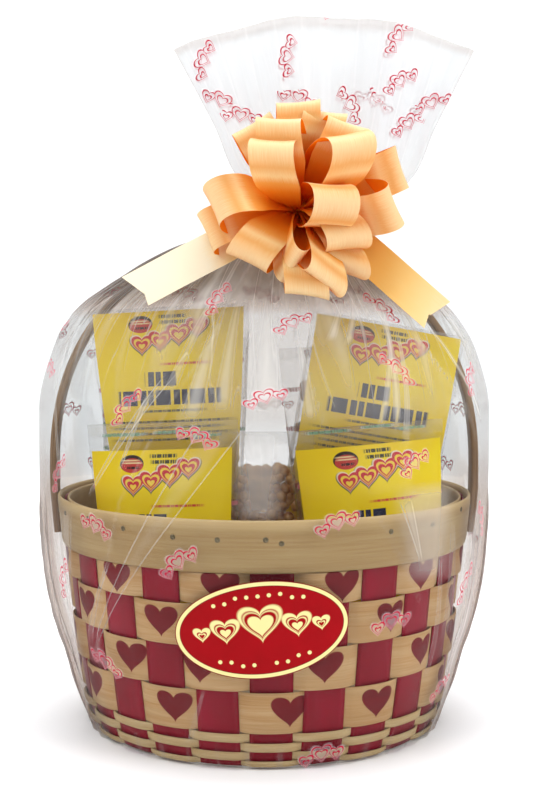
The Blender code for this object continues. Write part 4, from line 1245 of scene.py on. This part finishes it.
def wedge_haze(tree, sheet):
    """How milky the stressed wedges make the film at a place of the unrolled sheet."""
    across, upward, _ = add(tree, SPLIT, (sheet,)).outputs
    total = 0.0
    for start, top, end, bottom, half_top, half_bottom, fill, rim in WEDGES:
        share = add(tree, MAP_RANGE, (upward, top * MM, bottom * MM), clamp=False)
        first, last = (math.radians(degrees) * SHEET_RADIUS for degrees in (start, end))
        middle = add(tree, MATH, (share, last - first, first), operation="MULTIPLY_ADD")
        spread = (half_bottom - half_top) * MM
        half = add(tree, MATH, (share, spread, half_top * MM), operation="MULTIPLY_ADD")
        away = add(tree, MATH, (across, middle), operation="SUBTRACT")
        away = add(tree, MATH, (away,), operation="ABSOLUTE")
        gap = add(tree, MATH, (half, away), operation="SUBTRACT")
        soft = max(half_top, half_bottom) * 0.7 * MM
        body = add(tree, MAP_RANGE, (gap, -0.1 * soft, soft, 0.0, fill), interpolation_type="SMOOTHSTEP")
        nearness = add(tree, MATH, (gap,), operation="ABSOLUTE")
        line = add(tree, MAP_RANGE, (nearness, 0.2 * MM, 0.9 * MM, rim, 0.0))
        both = add(tree, MATH, (body, line), operation="ADD")
        centred = add(tree, MATH, (share, 0.5), operation="SUBTRACT")
        centred = add(tree, MATH, (centred,), operation="ABSOLUTE")
        fade = add(tree, MAP_RANGE, (centred, 0.38, 0.52, 1.0, 0.0))
        total = add(tree, MATH, (both, fade, total), operation="MULTIPLY_ADD")
    return total


def heart_trio(tree, across, upward, grown):
    """1 inside any of three small hearts in a slanting row, each enlarged by grown."""
    total = 0.0
    for centre_x, centre_y, half in ((-0.66, -0.12, 0.34), (0.0, 0.06, 0.46), (0.68, -0.02, 0.36)):
        inside = heart_ring(tree, across, upward, centre_x, centre_y, half + grown)
        total = add(tree, MATH, (inside, total), operation="MAXIMUM")
    return total


def wrap_finish():
    """Clear cellophane, 30 microns: glossy, milky where it is stressed, tinted with painted shade towards the
    neck and sides, with outlined crimson hearts.
    """
    material, tree = new_finish("cellophane_clear_printed")
    sheet = add(tree, UV, uv_map="sheet")
    crease, veil, stress, stacking_and_painted_shade = (
        add(tree, "ShaderNodeAttribute", attribute_name=name).outputs["Fac"] for name in FILM_MARKS
    )
    pulls = streaks(tree, sheet, (42.0, 5.0, 1.0), 2.0, distortion=0.5)
    centred = add(tree, MATH, (pulls, 0.5), operation="SUBTRACT")
    centred = add(tree, MATH, (centred,), operation="ABSOLUTE")
    lines = add(tree, MAP_RANGE, (centred, 0.0, 0.014, 0.3, 0.0))
    broad = add(tree, MAP_RANGE, (pulls, 0.54, 0.72, 0.0, 0.35))
    both = add(tree, MATH, (lines, broad), operation="ADD")
    haze = add(tree, MATH, (both, stress, veil), operation="MULTIPLY_ADD")
    haze = add(tree, MATH, (haze, wedge_haze(tree, sheet)), operation="ADD")
    haze = add(tree, MATH, (crease, 0.35, haze), operation="MULTIPLY_ADD", use_clamp=True)
    height = add(tree, MATH, (crease, 0.3, pulls), operation="MULTIPLY_ADD")
    bump = add(tree, BUMP, {"Height": height, "Strength": 0.2, "Distance": 0.003})
    # The clear tint darkens to brown with stacking and painted shade.
    clear = add(tree, RAMP, (stacking_and_painted_shade,), [(0.0, "fdfdfd"), (0.25, "edf0f1"), (0.6, "d3cac4"), (1.0, "9e8e80")])
    film = film_shader(tree, haze, linear("f6f6f6"), bump, 0.22, clear)
    across, upward, _ = add(tree, SPLIT, (add(tree, UV, uv_map="print"),)).outputs
    halo, outer, inner, core, pit = (
        heart_trio(tree, across, upward, grown) for grown in (0.06, 0.0, -0.07, -0.17, -0.24)
    )
    stroke = add(tree, MATH, (outer, inner), operation="SUBTRACT", use_clamp=True)
    second = add(tree, MATH, (core, pit), operation="SUBTRACT", use_clamp=True)
    stroke = add(tree, MATH, (stroke, second), operation="MAXIMUM")
    ink = add(tree, MIX, {FACTOR: stroke, UNDER: linear("f7e8ec"), OVER: linear("b60a32")}, data_type="RGBA")
    printed = add(tree, "ShaderNodeBsdfDiffuse", {"Color": ink, "Normal": bump})
    worn = add(tree, NOISE, {"Vector": sheet, "Scale": 260.0, "Detail": 1.0})
    worn = add(tree, MAP_RANGE, (worn, 0.3, 0.62, 0.95, 0.6))
    cover = add(tree, MATH, (stroke, worn), operation="MULTIPLY")
    cover = add(tree, MATH, (halo, 0.16, cover), operation="MULTIPLY_ADD", use_clamp=True)
    return shown(material, add(tree, "ShaderNodeMixShader", (cover, film, printed)))


def build_film():
    spot, signed, height, marks = film_points()
    faces = grid_faces(FILM_COLUMNS, FILM_ROWS, closed=True)
    wrap = new_piece("wrap_cellophane", spot.reshape(-1, 3) * MM, faces, wrap_finish())
    mesh = wrap.data
    for name in FILM_MARKS:
        mesh.attributes.new(name, "FLOAT", "POINT").data.foreach_set("value", marks[name].ravel())
    corners = np.empty(len(mesh.loops), dtype=np.int64)
    mesh.loops.foreach_get("vertex_index", corners)
    turns = signed.ravel()[corners].reshape(-1, 4)
    turns = np.where(turns.max(axis=1, keepdims=True) - turns > math.pi, turns + math.tau, turns).ravel()
    sheet = np.stack([turns * SHEET_RADIUS, height.ravel()[corners] * MM], axis=1)
    mesh.uv_layers.new(name="sheet").data.foreach_set("uv", sheet.ravel())
    film_print_uv(mesh, spot, corners)
    keep_piece(wrap, "film", "wrap_film")
    # Light has to pass both sides of the wrap and of several packs.
    bpy.context.scene.cycles.transparent_max_bounces = 24


build_film()

# Label. An oval of glossy red paper is stuck on the smooth front of the film, tilted a little.
# It has a cream border round a row of outlined hearts, large in the middle and smaller to the sides.
LABEL_STAND_OFF = 0.9
LABEL_CREAM = "e6dc98"
LABEL_CRIMSON = "7d0a14"
# Print of the label: hearts as centre and half width, dots as centre, all in millimetres.
LABEL_HEARTS = [
    (0, 1, 15), (-24, -1, 10), (24, -1, 10), (-40, -1.5, 6), (40, -1.5, 6),
]
LABEL_DOT = 1.4
LABEL_DOTS = [(x, side * (22.5 - abs(x) * 0.10)) for side in (1.0, -1.0) for x in (-30.0, -22.5, 22.5, 30.0)]
LABEL_DOTS += [(x, 23.5) for x in (-15.0, -7.5, 0.0, 7.5, 15.0)]
LABEL_DOTS += [(x, -23.5) for x in (-15.0, -7.5, 7.5, 15.0)]


def label_finish():
    """Gloss-coated sticker paper, printed red with a cream border and a row of outlined hearts."""
    material, tree = new_finish("sticker_paper_gloss_red")
    place = add(tree, UV, uv_map="label")
    across, upward, _ = add(tree, SPLIT, (place,)).outputs
    mottle = add(tree, NOISE, {"Vector": place, "Scale": 60.0, "Detail": 2.0})
    red = add(tree, RAMP, (mottle,), [(0.3, "930008"), (0.7, "9d000c")])
    cream = linear(LABEL_CREAM)
    layers = []
    for inset, ink in ((0.6, cream), (3.2, linear(LABEL_CRIMSON)), (3.9, red)):
        half = (LABEL_HALF[0] - inset, LABEL_HALF[1] - inset)
        layers.append((patch_mask(tree, across, upward, (0.0, 0.0), half, True), ink))
    for x, y, half in LABEL_HEARTS:
        for inset, ink in ((0.0, cream), (2.6, red), (3.4, cream), (4.2, red), (6.4, cream)):
            if half - inset > 1.5:
                layers.append((heart_ring(tree, across, upward, x * MM, y * MM, (half - inset) * MM), ink))
    for spot in LABEL_DOTS:
        layers.append((patch_mask(tree, across, upward, spot, (LABEL_DOT, LABEL_DOT), True), cream))
    colour = linear(LABEL_CRIMSON)
    for mask, ink in layers:
        colour = add(tree, MIX, {FACTOR: mask, UNDER: colour, OVER: ink}, data_type="RGBA")
    return opaque(material, colour, roughness=0.35, specular=0.08)


def build_label():
    rings, sides = 14, 96
    points = []
    flat = []
    for share, step in lattice(rings + 1, sides, closed=True):
        across = share * LABEL_HALF[0] * math.cos(math.tau * step)
        upward = share * LABEL_HALF[1] * math.sin(math.tau * step)
        x = LABEL_CENTRE[0] + across * math.cos(LABEL_TILT) - upward * math.sin(LABEL_TILT)
        z = LABEL_CENTRE[1] + across * math.sin(LABEL_TILT) + upward * math.cos(LABEL_TILT)
        height = np.array([z])
        wide, deep = (smooth_through(RING_HEIGHTS, size, height)[0] for size in (RING_WIDTHS, RING_DEPTHS))
        y = -deep * math.sqrt(1.0 - (x / wide) ** 2) - LABEL_STAND_OFF
        points.append(Vector((x, y, z)) * MM)
        flat.append((across * MM, upward * MM))
    faces = grid_faces(sides, rings + 1, closed=True)
    label = new_piece("label_oval", points, [tuple(reversed(face)) for face in faces], label_finish())
    layer = label.data.uv_layers.new(name="label")
    for loop in label.data.loops:
        layer.data[loop.index].uv = flat[loop.vertex_index]
    keep_piece(label, "label", "oval_label")


build_label()

# Bow. One 32 mm satin ribbon is looped to and fro into a full pull bow, and its last turn ties the neck.
# Its two tails lie on the wrap and end in slanting cuts.
KNOT = Vector((25.0, -36.0, 389.0)) * MM
RIBBON_HALF_WIDTH = 16.0 * MM
# Clock direction, lean towards the camera, slope of the crest and twist in degrees; length and opening
# in millimetres.
LOOPS = [
    (0, 12, -5, 0, 77, 28), (-29, 10, -31, 0, 70, 28), (-14, 36, -1, -6, 74, 34), (-27, 52, -3, -8, 70, 40),
    (-88, 35, -98, 26, 72, 38), (-105, 18, -108, 18, 71, 28), (16, 14, 8, 0, 73, 28),
    (31, 24, 22, 12, 74, 30),
    (41, 44, 1, 16, 78, 42), (68, 10, 72, 8, 81, 28), (90, 28, 78, 26, 76, 36), (92, 69, 3, 0, 70, 38),
    (126, 52, -6, 0, 69, 32), (142, 38, 16, 0, 71, 28), (161, 48, 30, -10, 84, 22), (175, 42, 18, 14, 84, 22),
    (-173, 50, 7, 70, 66, 20), (-136, 42, 26, 0, 69, 32),
]
# Points along each tail in millimetres, the way its width lies, and how far its painted shade near the knot
# gives way to painted highlight towards its end.
LEFT_TAIL = [(20, -36, 387), (-4, -46, 377), (-34, -52, 361), (-64, -56, 345), (-92, -60, 330)]
RIGHT_TAIL = [(30, -36, 387), (56, -50, 372), (80, -57, 352), (102, -61, 332), (124, -64, 313)]
TAILS = [(LEFT_TAIL, (0.30, -0.45, -0.84), 0.95), (RIGHT_TAIL, (-0.35, -0.40, -0.85), 0.46)]
# The satin's sides: name, colours from the knot out to the crest, which are painted light (painted glow and
# shade near the knot, painted highlight and sheen bands at the crest), roughness, gloss and how much light
# passes.
PAINTED_LIGHT_PLACES = (0.12, 0.34, 0.55, 0.68, 0.76, 0.84, 0.96)
PEACH_PAINTED_LIGHT = ("dc5800", "e67404", "ee9020", "f3b252", "fce2a0", "efba6c", "fdebb6")
# The inner face is a deeper orange copy of the satin: painted glow.
INSIDE_PAINTED_GLOW = ("f06c00", "f67a04", "f8860c", "fa9016", "fb9a22", "fca22c", "fda834")
# The tails: painted shade near the knot giving way to painted highlight towards the cut.
TAIL_PAINTED_LIGHT = ("e07408", "ea9020", "f0ac44", "f3be62", "f6ce80", "f9dc9c", "fff5dc")
RIBBON_SIDES = [
    ("satin_ribbon_peach", PEACH_PAINTED_LIGHT, 0.3, 0.12, 0.35),
    ("satin_ribbon_inside", INSIDE_PAINTED_GLOW, 0.6, 0.05, 0.5),
    ("satin_ribbon_tail", TAIL_PAINTED_LIGHT, 0.35, 0.14, 0.3),
]
TAIL_CUT = 9.0 * MM
# How far the loops' painted light reaches towards the painted highlight at their crests.
LOOP_PAINTED_LIGHT = 0.88
RIBBON_SEGMENTS = 8
RIBBON_THICKNESS = 0.3 * MM
NECK = Vector((25.0, 0.0, 389.5)) * MM
TIE_RADIUS = 20.6 * MM


def ribbon_finish(name, painted_light_colours, roughness, gloss, glow):
    """Polyester satin: a painted cream highlight and painted sheen bands at the crests, a painted orange glow
    and shade down in the bow, where light also passes through it.
    """
    material, tree = new_finish(name)
    # The reach mark places painted light: painted shade and glow near the knot, painted highlight at the
    # crest.
    reach = add(tree, "ShaderNodeAttribute", attribute_name="reach").outputs["Fac"]
    threads = streaks(tree, add(tree, UV, uv_map="ribbon"), (60.0, 3000.0, 1.0), 2.0)
    mixed = add(tree, MATH, (threads, 0.12, reach), operation="MULTIPLY_ADD")
    colour = add(tree, RAMP, (mixed,), zip(PAINTED_LIGHT_PLACES, painted_light_colours))
    sheen = add(tree, MAP_RANGE, (reach, 0.3, 0.8, 0.85, roughness))
    bump = add(tree, BUMP, {"Height": threads, "Strength": 0.12, "Distance": 0.0003})
    wanted = {"Base Color": colour, "Roughness": sheen, "Specular IOR Level": gloss, "Normal": bump}
    shader = add(tree, PRINCIPLED, wanted)
    through = add(tree, "ShaderNodeBsdfTranslucent", {"Color": colour, "Normal": bump})
    return shown(material, add(tree, "ShaderNodeMixShader", (glow, shader, through)))


def loop_path(clock, lean, crest, twist, length, opening, steps):
    """One loop out from the knot and back: for each step its place, way across, half width and share of
    painted light, from painted shade at the knot to painted highlight at the crest.
    """
    clock, lean, crest, twist = (math.radians(angle) for angle in (clock, lean, crest, twist))
    flat = Vector((math.sin(clock), 0.0, math.cos(clock)))
    outward = flat * math.cos(lean) + Vector((0.0, -math.sin(lean), 0.0))
    across = Matrix.Rotation(twist, 3, outward) @ Vector((math.cos(crest), 0.0, -math.sin(crest)))
    rise = across.cross(outward).normalized()
    path = []
    for step in range(steps):
        turn = math.tau * step / (steps - 1)
        reach = (1.0 - math.cos(turn)) / 2
        lift = math.sin(turn) * (0.45 + 0.6 * reach) * opening / 2
        half = RIBBON_HALF_WIDTH * (0.25 + 0.75 * min(1.0, 1.5 * reach))
        place = KNOT + outward * (length * reach + 2.0) * MM + rise * lift * MM
        path.append((place, across, half, LOOP_PAINTED_LIGHT * reach))
    return path


def tail_path(spine, across, painted_light, steps):
    """One tail from the knot to its cut, in the same way."""
    across = Vector(across).normalized()
    knots = np.arange(len(spine), dtype=float)
    spots = np.linspace(0.0, len(spine) - 1.0, steps)
    lines = [smooth_through(knots, values, spots) for values in np.array(spine, dtype=float).T]
    path = []
    for index, (x, y, z) in enumerate(zip(*lines)):
        share = spots[index] / (len(spine) - 1)
        half = RIBBON_HALF_WIDTH * (0.5 + 0.5 * min(1.0, share * 3.5))
        ripple = 2.0 * math.sin(share * 11.0) * share
        path.append((Vector((x, y - ripple, z)) * MM, across, half, 0.35 + painted_light * share))
    return path


def ribbon_strip(work, path, layers, sides, cut=0.0, cup=1.0):
    """Adds one length of ribbon: cupped a little across, and pinched into pleats where it narrows.

    Layers are the UV layer and the layer of painted light; sides are the materials of its outer and inner
    face.
    """
    sheets = ([], [])
    reach = 0.0
    for index, (centre, across, half, crest) in enumerate(path):
        before = path[max(index - 1, 0)][0]
        after = path[min(index + 1, len(path) - 1)][0]
        if index:
            reach += (centre - before).length
        along = (after - before).normalized()
        out_way = across.cross(along).normalized()
        slack = 1.0 - half / RIBBON_HALF_WIDTH
        for sheet, lift in zip(sheets, (RIBBON_THICKNESS / 2, -RIBBON_THICKNESS / 2)):
            row = []
            for step in range(RIBBON_SEGMENTS + 1):
                share = 2.0 * step / RIBBON_SEGMENTS - 1.0
                pleat = 1.3 * MM * slack * (1.0 if step % 2 else -1.0)
                bend = cup * MM * (1.0 - slack) * (share * share - 0.4)
                push = along * (-share * cut if index == len(path) - 1 else 0.0)
                point = centre + across * share * half + out_way * (bend + pleat + lift) + push
                corner = work.verts.new(point)
                # The crest share is painted light: painted shade near the knot, painted highlight at the
                # crest.
                corner[layers[1]] = crest
                row.append((corner, (reach, share * RIBBON_HALF_WIDTH)))
            sheet.append(row)
    outer, lower = sheets
    last = len(path) - 1
    for index in range(last):
        for step in range(RIBBON_SEGMENTS):
            for sheet, index_of, turned in ((outer, sides[0], False), (lower, sides[1], True)):
                low, high = sheet[index], sheet[index + 1]
                corners = [low[step], low[step + 1], high[step + 1], high[step]]
                ribbon_face(work, layers[0], corners, index_of, turned)
        for edge, turned in ((0, False), (RIBBON_SEGMENTS, True)):
            corners = [outer[index][edge], outer[index + 1][edge], lower[index + 1][edge], lower[index][edge]]
            ribbon_face(work, layers[0], corners, sides[0], turned)
    for step in range(RIBBON_SEGMENTS):
        corners = [outer[last][step], outer[last][step + 1], lower[last][step + 1], lower[last][step]]
        ribbon_face(work, layers[0], corners, sides[0], False)


def ribbon_face(work, layer, corners, index_of, turned):
    """Adds one face from corners that are each a vertex and its UV."""
    if turned:
        corners = corners[::-1]
    face = work.faces.new([corner[0] for corner in corners])
    face.smooth = True
    face.material_index = index_of
    for loop, corner in zip(face.loops, corners):
        loop[layer].uv = corner[1]


def build_bow():
    work = bmesh.new()
    layers = (work.loops.layers.uv.new("ribbon"), work.verts.layers.float.new("reach"))
    for loop in LOOPS:
        ribbon_strip(work, loop_path(*loop, steps=41), layers, (0, 1))
    for spine, across, painted_light in TAILS:
        ribbon_strip(work, tail_path(spine, across, painted_light, 36), layers, (2, 2), TAIL_CUT, 0.8)
    mesh = bpy.data.meshes.new("ribbon_bow_loops")
    work.to_mesh(mesh)
    work.free()
    for name, painted_light_colours, roughness, gloss, glow in RIBBON_SIDES:
        mesh.materials.append(ribbon_finish(name, painted_light_colours, roughness, gloss, glow))
    mesh.set_sharp_from_angle(angle=math.radians(60))
    bow = bpy.data.objects.new("ribbon_bow_loops", mesh)
    bpy.context.scene.collection.objects.link(bow)
    keep_piece(bow, "ribbon", "ribbon_bow")
    build_knot()


def build_knot():
    """The last turn of the ribbon round the neck, gathered into pleats, with the knot rolled over it."""
    points = []
    columns, rows = 96, 9
    for share, step in lattice(rows, columns, closed=True):
        turn = math.tau * step
        pleat = 0.9 * math.sin(turn * 13.0 + share * 2.5) + 0.5 * math.sin(turn * 29.0)
        radius = TIE_RADIUS + (0.6 + 0.8 * pleat * math.sin(math.pi * share)) * MM
        points.append(NECK + around(radius, turn, (share - 0.5) * 10.0 * MM))
    faces = grid_faces(columns, rows, closed=True)
    start = len(points)
    turns, lanes = 40, 17
    for share, step in lattice(lanes, turns, closed=True):
        turn = math.tau * step
        pleat = 1.0 + 0.07 * math.cos(share * 24.0 + 1.5 * math.sin(turn))
        round_x = 13.0 * MM * (0.62 + 0.38 * math.sin(math.pi * share)) * pleat
        x = math.sin(turn) * round_x * 0.85
        y = 2.0 * MM - math.cos(turn) * round_x
        points.append(KNOT + Vector((x, y, (share - 0.5) * 27.0 * MM)))
    faces += grid_faces(turns, lanes, closed=True, start=start)
    # Its reach mark stays 0, so the knot takes the deepest painted shade of the tail colours.
    satin = ribbon_finish("satin_ribbon_knot", TAIL_PAINTED_LIGHT, 0.4, 0.12, 0.3)
    knot = new_piece("ribbon_knot", points, faces, satin)
    layer = knot.data.uv_layers.new(name="ribbon")
    knot.data.attributes.new("reach", "FLOAT", "POINT")
    for loop in knot.data.loops:
        point = knot.data.vertices[loop.vertex_index].co
        layer.data[loop.index].uv = (math.atan2(point.x - KNOT.x, -point.y) * 0.02, point.z)
    keep_piece(knot, "ribbon")


build_bow()

# Studio. A pale sweep of paper runs from under the basket up behind it, lit by large soft boxes.
# The camera stands in front, a little above the rim, and looks slightly down.
SWEEP_HALF_WIDTH = 2.5
SWEEP_NEAR = -2.0
SWEEP_BEND = 1.6
SWEEP_RADIUS = 0.8
CAMERA_PLACE = (0.0026, -0.9788, 0.3048)
CAMERA_TILT = 3.286
PHOTO_HEIGHT_PX = 792
FOCAL_PX = 1256.4
SENSOR_MM = 36.0


def build_sweep():
    """The sweep: matt white background paper with a tone that hardly varies."""
    material, tree = new_finish("paper_backdrop_white")
    place = add(tree, "ShaderNodeTexCoord").outputs["Object"]
    fleck = add(tree, NOISE, {"Vector": place, "Scale": 6.0})
    opaque(material, add(tree, RAMP, (fleck,), [(0.0, "f4f4f5"), (1.0, "fafafa")]), roughness=0.9)
    profile = [(SWEEP_NEAR, 0.0), (SWEEP_BEND, 0.0)]
    for step in range(1, 13):
        turn = math.pi / 2 * step / 12
        profile.append((SWEEP_BEND + SWEEP_RADIUS * math.sin(turn), SWEEP_RADIUS * (1.0 - math.cos(turn))))
    profile.append((SWEEP_BEND + SWEEP_RADIUS, 3.5))
    points = [Vector((side * SWEEP_HALF_WIDTH, y, z)) for y, z in profile for side in (-1, 1)]
    sweep = new_piece("paper_sweep", points, grid_faces(2, len(profile)), material)


def soft_box(name, place, size, power):
    """A rectangular lamp of that size and power, turned towards the middle of the basket."""
    light = bpy.data.lights.new(name, "AREA")
    light.shape = "RECTANGLE"
    light.size, light.size_y = size
    light.energy = power
    lamp = bpy.data.objects.new(name, light)
    lamp.location = place
    lamp.rotation_euler = (Vector((0.0, 0.0, 0.25)) - Vector(place)).to_track_quat("-Z", "Y").to_euler()
    bpy.context.scene.collection.objects.link(lamp)


def build_camera():
    lens = bpy.data.cameras.new("camera")
    lens.sensor_width = SENSOR_MM
    lens.lens = SENSOR_MM * FOCAL_PX / PHOTO_HEIGHT_PX
    camera = bpy.data.objects.new("camera", lens)
    camera.location = CAMERA_PLACE
    camera.rotation_euler = (math.radians(90.0 - CAMERA_TILT), 0.0, 0.0)
    bpy.context.scene.collection.objects.link(camera)
    bpy.context.scene.camera = camera


build_sweep()
soft_box("soft_box_left", (-1.5, -1.1, 1.7), (1.2, 1.2), 24.0)
soft_box("soft_box_right", (1.6, -0.9, 1.4), (1.0, 1.4), 24.0)
soft_box("soft_box_top", (0.0, 0.3, 2.2), (1.8, 1.4), 44.0)
build_camera()
world = bpy.data.worlds.new("studio")
world.use_nodes = True
world.node_tree.nodes["Background"].inputs["Color"].default_value = (0.95, 0.97, 1.0, 1.0)
world.node_tree.nodes["Background"].inputs["Strength"].default_value = 0.56
bpy.context.scene.world = world
bpy.context.scene.view_settings.view_transform = "Standard"
